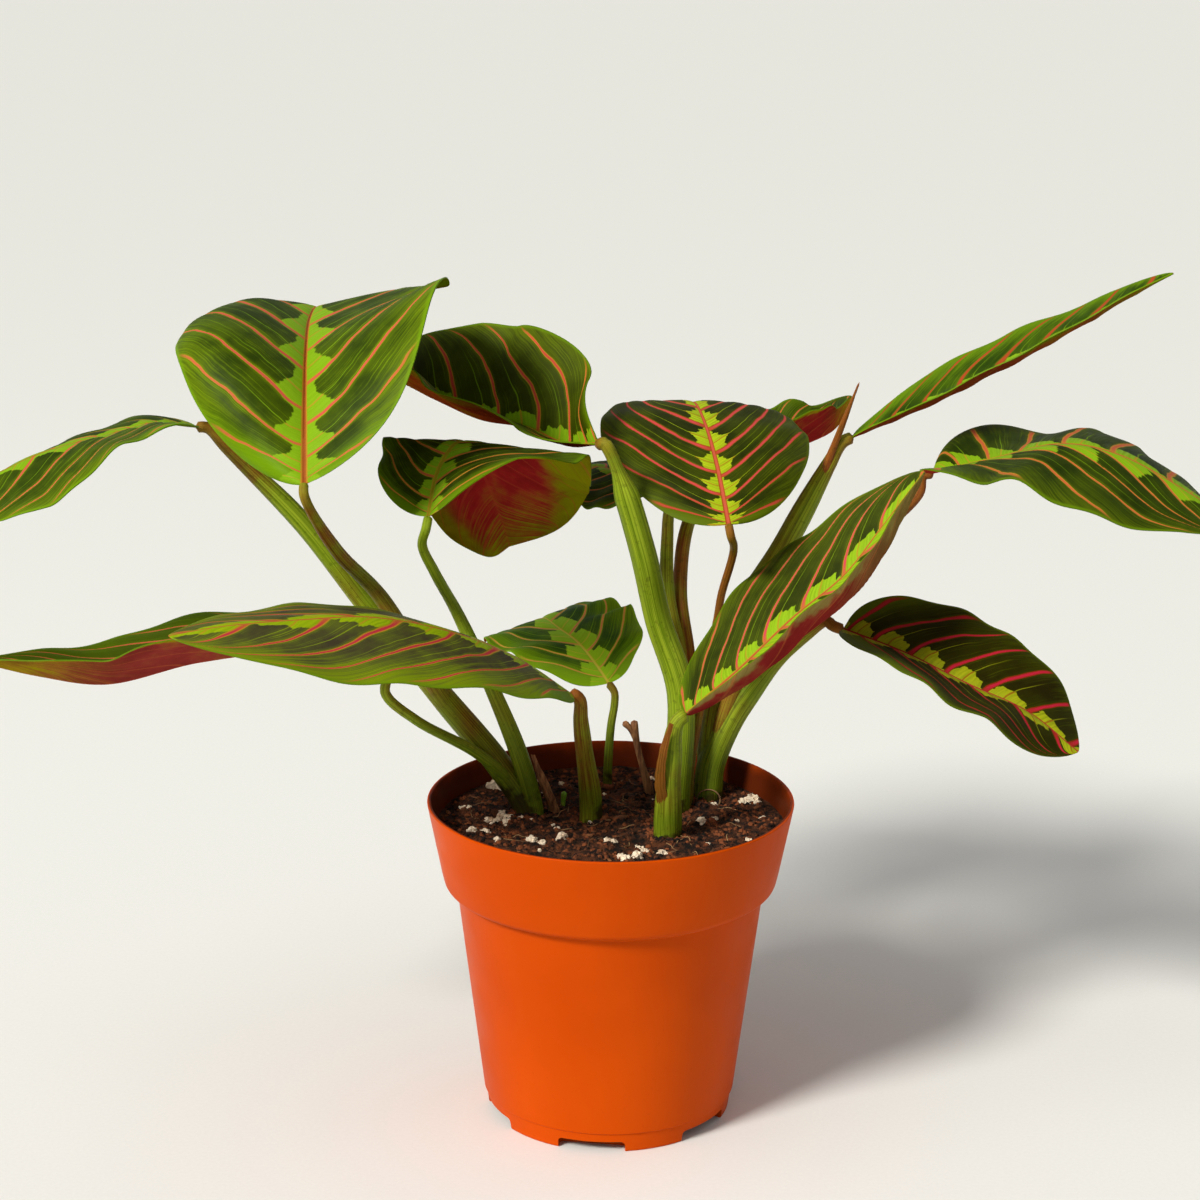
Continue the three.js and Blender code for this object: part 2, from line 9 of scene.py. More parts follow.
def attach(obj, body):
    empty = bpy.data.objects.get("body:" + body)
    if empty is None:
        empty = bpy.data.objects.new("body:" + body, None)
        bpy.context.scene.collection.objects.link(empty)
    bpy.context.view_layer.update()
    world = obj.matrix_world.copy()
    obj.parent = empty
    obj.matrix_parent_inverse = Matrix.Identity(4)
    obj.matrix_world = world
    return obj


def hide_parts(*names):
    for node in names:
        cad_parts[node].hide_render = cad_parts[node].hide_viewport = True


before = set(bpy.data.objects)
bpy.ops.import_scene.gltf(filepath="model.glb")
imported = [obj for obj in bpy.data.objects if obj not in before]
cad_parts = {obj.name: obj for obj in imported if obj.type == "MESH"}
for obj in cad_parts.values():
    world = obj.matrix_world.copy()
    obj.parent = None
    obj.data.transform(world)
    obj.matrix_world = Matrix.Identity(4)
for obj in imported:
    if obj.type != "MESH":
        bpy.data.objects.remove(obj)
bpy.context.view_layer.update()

# ==== Pot ====
# A thin nursery pot, injection-moulded in one piece from terracotta-coloured polypropylene. Its
# wall tapers, turns out into a collar that flares to the rim, and stands on a floor with six drain
# notches cut through the corner. The pot carries everything else.

MM = 0.001
POT_SIDES = 160
POT_CORNERS = (  # radius, height and fillet, in mm: underside, outside, rim, inside and floor
    (33, 0, 0), (36.9, 0, 0.7), (37.7, 6, 0.15), (38.3, 6.4, 0.3), (46.3, 71, 0.9),
    (49.9, 72.6, 2.6), (50.9, 77, 1.5), (55, 97.9, 0.5), (53.8, 98, 0.45), (49.6, 77, 1.5),
    (48.2, 74.2, 2), (45.1, 72, 0.9), (35.8, 1.8, 1.4), (30, 1.8, 0),
)
NOTCH_COUNT = 6
NOTCH_SIZE = (12, 20, 6.8)
NOTCH_RADIUS = 37.5
NOTCH_TURN = -98
NOTCH_ROUNDING = 1.2


def rounded_profile(corners, steps=5):
    """The line through a profile's corners, with each fillet drawn in short steps."""
    line = []
    for index, (radius, height, fillet) in enumerate(corners):
        corner = np.array([radius, height], float)
        if fillet == 0:
            line.append(corner)
            continue
        back = np.array(corners[index - 1][:2]) - corner
        ahead = np.array(corners[index + 1][:2]) - corner
        back /= np.linalg.norm(back)
        ahead /= np.linalg.norm(ahead)
        reach = fillet / math.tan(math.acos(np.clip(back @ ahead, -1, 1)) / 2)
        for k in range(steps + 1):
            t = k / steps
            start, end = corner + back * reach, corner + ahead * reach
            line.append((1 - t) ** 2 * start + 2 * t * (1 - t) * corner + t * t * end)
    return line


def pick(piece):
    """Makes one piece the only one that the next operator acts on."""
    bpy.ops.object.select_all(action="DESELECT")
    bpy.context.view_layer.objects.active = piece
    piece.select_set(True)


def harden(piece, modifier):
    """Applies one of a piece's modifiers."""
    pick(piece)
    bpy.ops.object.modifier_apply(modifier=modifier.name)


def smooth(piece, angle):
    """Shades a piece smooth, but for edges sharper than the angle."""
    pick(piece)
    bpy.ops.object.shade_smooth_by_angle(angle=math.radians(angle))


pot_line = rounded_profile(POT_CORNERS)
bpy.ops.mesh.primitive_circle_add(vertices=POT_SIDES, radius=pot_line[0][0] * MM)
pot = bpy.context.object
pot.name = "pot_moulding"
bpy.ops.object.mode_set(mode="EDIT")
bpy.ops.mesh.select_all(action="SELECT")
for (radius, height), (next_radius, next_height) in zip(pot_line, pot_line[1:]):
    rise = (0, 0, (next_height - height) * MM)
    bpy.ops.mesh.extrude_edges_move(TRANSFORM_OT_translate={"value": rise})
    grow = next_radius / radius
    bpy.ops.transform.resize(value=(grow, grow, 1), center_override=(0, 0, 0))
for end in ("floor", "underside"):
    if end == "underside":
        bpy.ops.mesh.select_all(action="DESELECT")
        bpy.ops.mesh.select_non_manifold()
    bpy.ops.mesh.extrude_edges_move()
    bpy.ops.mesh.merge(type="CENTER")
bpy.ops.mesh.select_all(action="SELECT")
bpy.ops.mesh.normals_make_consistent(inside=False)
bpy.ops.object.mode_set(mode="OBJECT")

for k in range(NOTCH_COUNT):
    turn = math.radians(NOTCH_TURN + 360 * k / NOTCH_COUNT)
    bpy.ops.mesh.primitive_cube_add(
        size=1,
        scale=[side * MM for side in NOTCH_SIZE],
        location=(NOTCH_RADIUS * MM * math.cos(turn), NOTCH_RADIUS * MM * math.sin(turn), 0),
        rotation=(0, 0, turn),
    )
    cutter = bpy.context.object
    bpy.ops.object.transform_apply(location=False, rotation=False, scale=True)
    round_over = cutter.modifiers.new("round_over", "BEVEL")
    round_over.width = NOTCH_ROUNDING * MM
    round_over.segments = 4
    harden(cutter, round_over)
    cut = pot.modifiers.new("cut", "BOOLEAN")
    cut.operation = "DIFFERENCE"
    cut.object = cutter
    harden(pot, cut)
    bpy.data.objects.remove(cutter)
smooth(pot, 32)


def tint(*seen):
    """A colour as seen on a screen, 0 to 255, as the light that a finish gives back."""
    parts = [part / 255 for part in seen]
    return (*[part / 12.92 if part < 0.04 else ((part + 0.055) / 1.055) ** 2.4
              for part in parts], 1)


class Finish:
    """A procedural finish. Each call adds a node to it and gives back what that node puts out."""

    def __init__(self, name, **constants):
        self.material = bpy.data.materials.new(name)
        self.material.use_nodes = True
        self.tree = self.material.node_tree
        self.shader = self.tree.nodes["Principled BSDF"]
        for socket, value in constants.items():
            self.shader.inputs[socket.replace("_", " ")].default_value = value

    def add(self, kind, inputs, out=0, **settings):
        node = self.tree.nodes.new(kind)
        for name, value in settings.items():
            setattr(node, name, value)
        for socket, value in inputs.items():
            if isinstance(value, bpy.types.NodeSocket):
                self.tree.links.new(value, node.inputs[socket])
            else:
                node.inputs[socket].default_value = value
        return node.outputs[out]

    def place(self):
        return self.add("ShaderNodeTexCoord", {}, out="Object")

    def pair(self, name):
        both = self.add("ShaderNodeUVMap", {}, uv_map=name)
        parts = self.add("ShaderNodeSeparateXYZ", {0: both})
        return parts, parts.node.outputs[1]

    def value(self, name):
        return self.add("ShaderNodeAttribute", {}, out="Fac", attribute_name=name)

    def point(self, x, y):
        return self.add("ShaderNodeCombineXYZ", {0: x, 1: y})

    def sum(self, operation, first, second=0.0, third=0.0):
        return self.add("ShaderNodeMath", {0: first, 1: second, 2: third}, operation=operation)

    def plus(self, first, second):
        return self.sum("ADD", first, second)

    def times(self, first, second):
        return self.sum("MULTIPLY", first, second)

    def ramp(self, value, low, high, start=0.0, end=1.0):
        inputs = {0: value, 1: low, 2: high, 3: start, 4: end}
        return self.add("ShaderNodeMapRange", inputs, interpolation_type="SMOOTHSTEP")

    def spread(self, pattern, start=0.0, end=1.0):
        """Most of a noise pattern's range, spread from start to end."""
        return self.ramp(pattern, 0.3, 0.7, start, end)

    def blend(self, amount, first, second):
        inputs = {0: amount, 6: first, 7: second}
        return self.add("ShaderNodeMix", inputs, out=2, data_type="RGBA")

    def noise(self, place, scale, detail=3.0, rough=0.5):
        inputs = {"Vector": place, "Scale": scale, "Detail": detail, "Roughness": rough}
        return self.add("ShaderNodeTexNoise", inputs)

    def relief(self, height, depth_mm, strength=1.0):
        inputs = {"Height": height, "Distance": depth_mm * MM, "Strength": strength}
        self.wire("Normal", self.add("ShaderNodeBump", inputs))

    def wire(self, socket, value):
        self.tree.links.new(value, self.shader.inputs[socket])

    def paint(self, colour, roughness=None):
        """Gives the shader its colour and, where that varies, its roughness."""
        self.wire("Base Color", colour)
        if roughness is not None:
            self.wire("Roughness", roughness)

    def coat_piece(self, piece):
        piece.data.materials.clear()
        piece.data.materials.append(self.material)


plastic = Finish("terracotta_plastic", Specular_IOR_Level=0.04)
spot = plastic.place()
cloudy = plastic.spread(plastic.noise(spot, 14, 4))
colour = plastic.blend(cloudy, tint(192, 68, 0), tint(208, 78, 2))
fleck = plastic.ramp(plastic.noise(spot, 900, 2), 0.62, 0.75, 0, 0.35)
colour = plastic.blend(fleck, colour, tint(190, 66, 8))
# The inner wall is darkened with painted shade and smudged with soil, most toward the soil. It is
# told from the outside by how far it is from the axis, less a fifth of its height, as the wall
# leans.
parts = plastic.add("ShaderNodeSeparateXYZ", {0: spot})
height = parts.node.outputs[2]
flat = plastic.point(parts, parts.node.outputs[1])
away = plastic.add("ShaderNodeVectorMath", {0: flat}, out="Value", operation="LENGTH")
inside = plastic.ramp(plastic.sum("SUBTRACT", away, plastic.times(height, 0.2)), 0.035, 0.0347)
inside = plastic.times(inside, plastic.ramp(height, 0.08, 0.082))
level = plastic.sum("MULTIPLY_ADD", plastic.noise(spot, 120, 4), 0.012, height)
# painted shade with soil smudges: the inner wall darker toward the soil
soil_smudge_and_shade = plastic.times(plastic.ramp(level, 0.112, 0.1, 0.25, 0.92), inside)
colour = plastic.blend(soil_smudge_and_shade, colour, tint(66, 26, 10))
plastic.paint(colour, plastic.spread(plastic.noise(spot, 60, 5), 0.34, 0.46))
plastic.relief(plastic.noise(spot, 1400, 2), 0.05, 0.35)
plastic.coat_piece(pot)
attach(pot, "root")
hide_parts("pot")

# ==== Soil ====
# Potting soil, filled to 8 mm below the rim: fine dark peat with grains, bark chips and roots, and
# lumps of white perlite. It lies loose in the pot and holds the stems up.

SOIL_LEVEL = 90
SOIL_WALL = ((0, 2.2), (35.4, 2.2), (44.7, 72), (49.2, 77), (52.3, 90))  # radius and height
SOIL_EDGE = SOIL_WALL[-1][0]
SOIL_ROWS = (2, 10, 3, 5, 110)
SOIL_COLUMNS = 240
PERLITE_SEEN = (  # x, y and size of the lumps in plain sight
    (-35.5, 31, 3.2), (-36.5, 2, 2), (-33, 4, 2.2), (-30.5, 3, 1.8), (-34, 0, 1.8), (-31, -1, 1.6),
    (-23, -15, 2), (-20, -16, 1.6), (-14, -15, 2.1), (-37, -9, 1.6), (-41, -9, 1.7),
    (-45, 12, 1.5), (0, -18, 1.7), (8.5, -20, 1.7), (10, -22, 1.5), (8, -31, 2), (4.5, -32, 1.6),
    (3, -29, 1.3), (27, 1, 2), (44, 21, 2.6), (41, 19, 1.6), (-27, 2, 1.4), (15, -24, 1.3),
    (46, 6, 1.1),
)
STEM_FEET = (  # x, y and radius of the clumps, which crumbs are heaped against
    (-25, 9, 4.6), (-6, 3, 4), (17, -12, 4.4), (31, 24, 4.6), (22, 16, 4.6), (-1, 36, 1.8),
)
GRAINS = 2200
GRAINS_TO_A_FOOT = 60
BARK_CHIPS = 70
LOOSE_PERLITE = 36
ROOTLETS = 46


def ground_height(x, y):
    """How high the soil lies at a point, in mm."""
    inward = max(0.0, 1 - (math.hypot(x, y) / SOIL_EDGE) ** 4)
    broad = 0.5 * (math.sin(x / 4.1 + 2) * math.cos(y / 3.3) + math.sin(x / 5 + y / 6))
    lumpy = 1.1 * noise.fractal(Vector((x / 7, y / 7, 3)), 0.7, 2, 6)
    return SOIL_LEVEL + inward * broad + (0.35 + 0.65 * inward) * lumpy


def grid_piece(name, columns, rows, place):
    """A sheet of faces, bent to shape: place gives its points in mm from u across and v along."""
    bpy.ops.mesh.primitive_grid_add(x_subdivisions=columns, y_subdivisions=rows, size=1)
    piece = bpy.context.object
    piece.name = name
    flat = np.empty(3 * len(piece.data.vertices))
    piece.data.vertices.foreach_get("co", flat)
    u, v = flat.reshape(-1, 3)[:, :2].T + 0.5
    piece.data.vertices.foreach_set("co", (place(u, v) * MM).ravel())
    piece.data.update()
    return piece


def close_seams(piece):
    """Joins the edges of a bent sheet where they meet, and turns its faces outwards."""
    pick(piece)
    bpy.ops.object.mode_set(mode="EDIT")
    bpy.ops.mesh.select_all(action="SELECT")
    bpy.ops.mesh.remove_doubles(threshold=0.001 * MM)
    bpy.ops.mesh.normals_make_consistent(inside=False)
    bpy.ops.object.mode_set(mode="OBJECT")


def soil_place(u, v):
    stops = np.cumsum((0, *SOIL_ROWS)) / sum(SOIL_ROWS)
    radii, heights = zip(*SOIL_WALL, (0, SOIL_LEVEL))
    radius = np.interp(v, stops, radii)
    x, y = radius * np.cos(2 * np.pi * u), radius * np.sin(2 * np.pi * u)
    z = np.interp(v, stops, heights)
    top = v > stops[-2] - 1e-6
    z[top] = [ground_height(a, b) for a, b in zip(x[top], y[top])]
    return np.stack([x, y, z], axis=1)


soil = grid_piece("soil_ground", SOIL_COLUMNS, sum(SOIL_ROWS), soil_place)
close_seams(soil)
smooth(soil, 60)
peat = Finish("potting_soil", Specular_IOR_Level=0.25)
spot = peat.place()
# The peat's tone varies from dark to light: painted shade in the gaps between crumbs, and painted
# highlights on them.
peat_tone_and_painted_light = peat.ramp(peat.noise(spot, 300, 6, 0.7), 0.4, 0.64)
colour = peat.blend(peat_tone_and_painted_light, tint(18, 9, 5), tint(94, 52, 26))
# Pale reddish specks are painted highlights on the peat.
highlight_specks = peat.ramp(peat.noise(spot, 700, 3), 0.58, 0.7, 0, 0.7)
colour = peat.blend(highlight_specks, colour, tint(112, 64, 36))
peat.paint(colour, peat.spread(peat.noise(spot, 90), 0.75, 0.98))
peat.relief(peat.noise(spot, 500, 8, 0.75), 1.4)
peat.coat_piece(soil)
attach(soil, "root")
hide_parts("soil")


def gather(pieces, name):
    """Joins pieces into one, with one mesh."""
    pick(pieces[0])
    for piece in pieces:
        piece.select_set(True)
    bpy.ops.object.join()
    pieces[0].name = name
    return pieces[0]


def strewn(name, model, places, seed):
    """Copies of a small piece lying on the soil. places gives x, y, size and sinking, in mm."""
    dice = random.Random(seed)
    copies = []
    for x, y, size, sink in places:
        copy = model.copy()
        copy.data = model.data.copy()
        turn = Matrix.Rotation(dice.uniform(0, 6.28), 4, "Z")
        turn = turn @ Matrix.Rotation(dice.uniform(-0.5, 0.5), 4, "X")
        shape = Matrix.Diagonal([size * MM * dice.uniform(0.75, 1.2) for _ in range(3)] + [1])
        spot = Vector((x, y, ground_height(x, y) - sink * size)) * MM
        copy.data.transform(Matrix.Translation(spot) @ turn @ shape)
        bpy.context.collection.objects.link(copy)
        copies.append(copy)
    bpy.data.objects.remove(model)
    return gather(copies, name)


def lump(detail, jagged, seed):
    """A stone-like lump of about unit radius."""
    bpy.ops.mesh.primitive_ico_sphere_add(subdivisions=detail, radius=1)
    piece = bpy.context.object
    for vertex in piece.data.vertices:
        vertex.co *= 1 + jagged * noise.fractal(vertex.co * 1.3 + Vector((seed, 0, 0)), 0.6, 2, 3)
    return piece


def anywhere(dice, margin=1.5):
    """A point on the soil's top, drawn evenly."""
    radius = (SOIL_EDGE - margin) * math.sqrt(dice.random())
    turn = dice.uniform(0, 2 * math.pi)
    return radius * math.cos(turn), radius * math.sin(turn)


dice = random.Random(11)
grain_places = [(*anywhere(dice), dice.uniform(0.35, 1.25), 0.2) for _ in range(GRAINS)]
for x, y, radius in STEM_FEET:
    for _ in range(GRAINS_TO_A_FOOT):
        turn, reach = dice.uniform(0, 6.28), radius + dice.uniform(-0.4, 1.6)
        spot = (x + reach * math.cos(turn), y + reach * math.sin(turn))
        grain_places.append((*spot, dice.uniform(0.5, 1.2), 0))
grains = strewn("soil_grains", lump(1, 0.5, 5), grain_places, 21)
crumbs = Finish("peat_crumbs", Specular_IOR_Level=0.25, Roughness=0.9)
spot = crumbs.place()
tone = crumbs.ramp(crumbs.noise(spot, 320, 2), 0.38, 0.64)
crumbs.paint(crumbs.blend(tone, tint(18, 10, 6), tint(126, 70, 38)))
crumbs.relief(crumbs.noise(spot, 1500, 4), 0.3)

chip_places = [(*anywhere(dice), dice.uniform(1.0, 2.2), 0.1) for _ in range(BARK_CHIPS)]
chip = lump(1, 0.4, 9)
chip.data.transform(Matrix.Diagonal((1.2, 0.5, 0.3, 1)))
chips = strewn("bark_chips", chip, chip_places, 23)
bark = Finish("bark", Specular_IOR_Level=0.25, Roughness=0.85)
spot = bark.place()
tone = bark.ramp(bark.noise(spot, 150, 3), 0.35, 0.65)
bark.paint(bark.blend(tone, tint(60, 34, 22), tint(128, 82, 50)))
bark.relief(bark.noise(spot, 1200, 4), 0.3)

perlite_places = [(x, y, size, 0.25) for x, y, size in PERLITE_SEEN]
perlite_places += [(*anywhere(dice, 3), dice.uniform(0.5, 1.3), 0.2)
                   for _ in range(LOOSE_PERLITE)]
perlite = strewn("perlite", lump(3, 0.55, 2), perlite_places, 25)
foam = Finish("perlite_lumps", Specular_IOR_Level=0.3, Roughness=0.85)
spot = foam.place()
stain = foam.ramp(foam.noise(spot, 260, 4), 0.45, 0.75, 0, 0.75)
foam.paint(foam.blend(stain, tint(240, 224, 198), tint(150, 108, 72)))
pores = foam.add("ShaderNodeTexVoronoi", {"Vector": spot, "Scale": 1600})
foam.relief(foam.plus(pores, foam.noise(spot, 900, 4)), 0.25)
smooth(perlite, 40)


def bent_line(points, fineness=40):
    """A smooth line through points, as close points and each one's share of the length."""
    points = [np.array(point, float) for point in points]
    ends = [2 * points[0] - points[1], *points, 2 * points[-1] - points[-2]]
    line = []
    for p0, p1, p2, p3 in zip(ends, ends[1:], ends[2:], ends[3:]):
        d0, d1, d2 = (np.linalg.norm(b - a) ** 0.5 for a, b in ((p0, p1), (p1, p2), (p2, p3)))
        m1 = d1 * ((p1 - p0) / d0 - (p2 - p0) / (d0 + d1) + (p2 - p1) / d1)
        m2 = d1 * ((p2 - p1) / d1 - (p3 - p1) / (d1 + d2) + (p3 - p2) / d2)
        for k in range(fineness):
            t = k / fineness
            line.append(p1 + m1 * t + (3 * (p2 - p1) - 2 * m1 - m2) * t**2
                        + (2 * (p1 - p2) + m1 + m2) * t**3)
    line = np.array([*line, points[-1]])
    lengths = np.concatenate([[0], np.cumsum(np.linalg.norm(np.diff(line, axis=0), axis=1))])
    return line, lengths


def along_line(line, share):
    """Points on a bent line at shares of its length, and its headings there."""
    points, lengths = line
    shares = lengths / lengths[-1]
    headings = np.gradient(points, lengths, axis=0)
    spots, ways = (np.stack([np.interp(share, shares, row) for row in rows.T], axis=1)
                   for rows in (points, headings))
    return spots, ways / np.linalg.norm(ways, axis=1, keepdims=True)


def at_station(stations, share):
    """Values between stations spread evenly from 0 to 1, easing from each to the next."""
    spot = np.clip(share, 0, 1) * (len(stations) - 1)
    low = np.minimum(spot.astype(int), len(stations) - 2)
    ease = spot - low
    ease = ease * ease * (3 - 2 * ease)
    values = np.array(stations, float)
    return values[low] * (1 - ease) + values[low + 1] * ease


def tube(name, points, radii, sides, step, ridges=0.0, knots=()):
    """A closed round stem along points. knots are swellings, each as share, size and reach."""
    line = bent_line(points)
    length = line[1][-1]

    def place(u, v):
        spots, ways = along_line(line, v)
        side = np.cross(ways, (0, 1, 0))
        side /= np.linalg.norm(side, axis=1, keepdims=True)
        out = np.cross(side, ways)
        radius = at_station(radii, v)
        for share, size, reach in knots:
            radius = radius * (1 + size * np.exp(-(((v - share) / reach) ** 2)))
        from_end = np.minimum(v, 1 - v) * length
        radius = radius * np.sqrt(np.clip(1 - (1 - from_end / 1.2).clip(0, 1) ** 2, 0, 1))
        turn = 2 * np.pi * u
        radius = radius * (1 + ridges * (np.cos(7 * turn + 1) + 0.6 * np.cos(12 * turn + 3 * v)))
        across, up = radius * np.cos(turn), radius * np.sin(turn)
        return spots + across[:, None] * side + up[:, None] * out

    piece = grid_piece(name, sides, max(6, round(length / step)), place)
    close_seams(piece)
    return piece


dice = random.Random(31)
rootlets = []
for _ in range(ROOTLETS):
    x, y = anywhere(dice, 9)
    turn = dice.uniform(0, 6.28)
    points = []
    for _ in range(5):
        points.append((x, y, ground_height(x, y) + dice.uniform(-0.3, 0.8)))
        turn += dice.uniform(-0.7, 0.7)
        x, y = x + 2.2 * math.cos(turn), y + 2.2 * math.sin(turn)
    rootlets.append(tube("rootlet", points, [0.16, 0.14, 0.07], 5, 0.8))
ring = [(30 + 3.6 * math.cos(turn), 17 + 2 * math.sin(turn), 91.4 + 2.6 * math.sin(turn))
        for turn in np.linspace(-0.9, 4.2, 12)]  # a root that loops out of the soil
rootlets.append(tube("rootlet", ring, [0.25, 0.2, 0.15], 6, 0.7))
roots = gather(rootlets, "rootlets")
smooth(roots, 80)
fibre = Finish("rootlets", Specular_IOR_Level=0.3, Roughness=0.7)
tone = fibre.ramp(fibre.noise(fibre.place(), 180, 2), 0.35, 0.65)
fibre.paint(fibre.blend(tone, tint(92, 62, 38), tint(170, 135, 92)))

for litter, finish in ((grains, crumbs), (chips, bark), (perlite, foam), (roots, fibre)):
    finish.coat_piece(litter)
    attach(litter, "root")
    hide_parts("soil")

# ==== Stems ====
# The stalks of the leaves, each rooted in the soil and ending in a small joint under its blade.
# They are fleshy and green, finely ridged along their length and flushed brown or red higher up.
# Those of one clump grow from one root, and are one piece. The table also gives the blades.

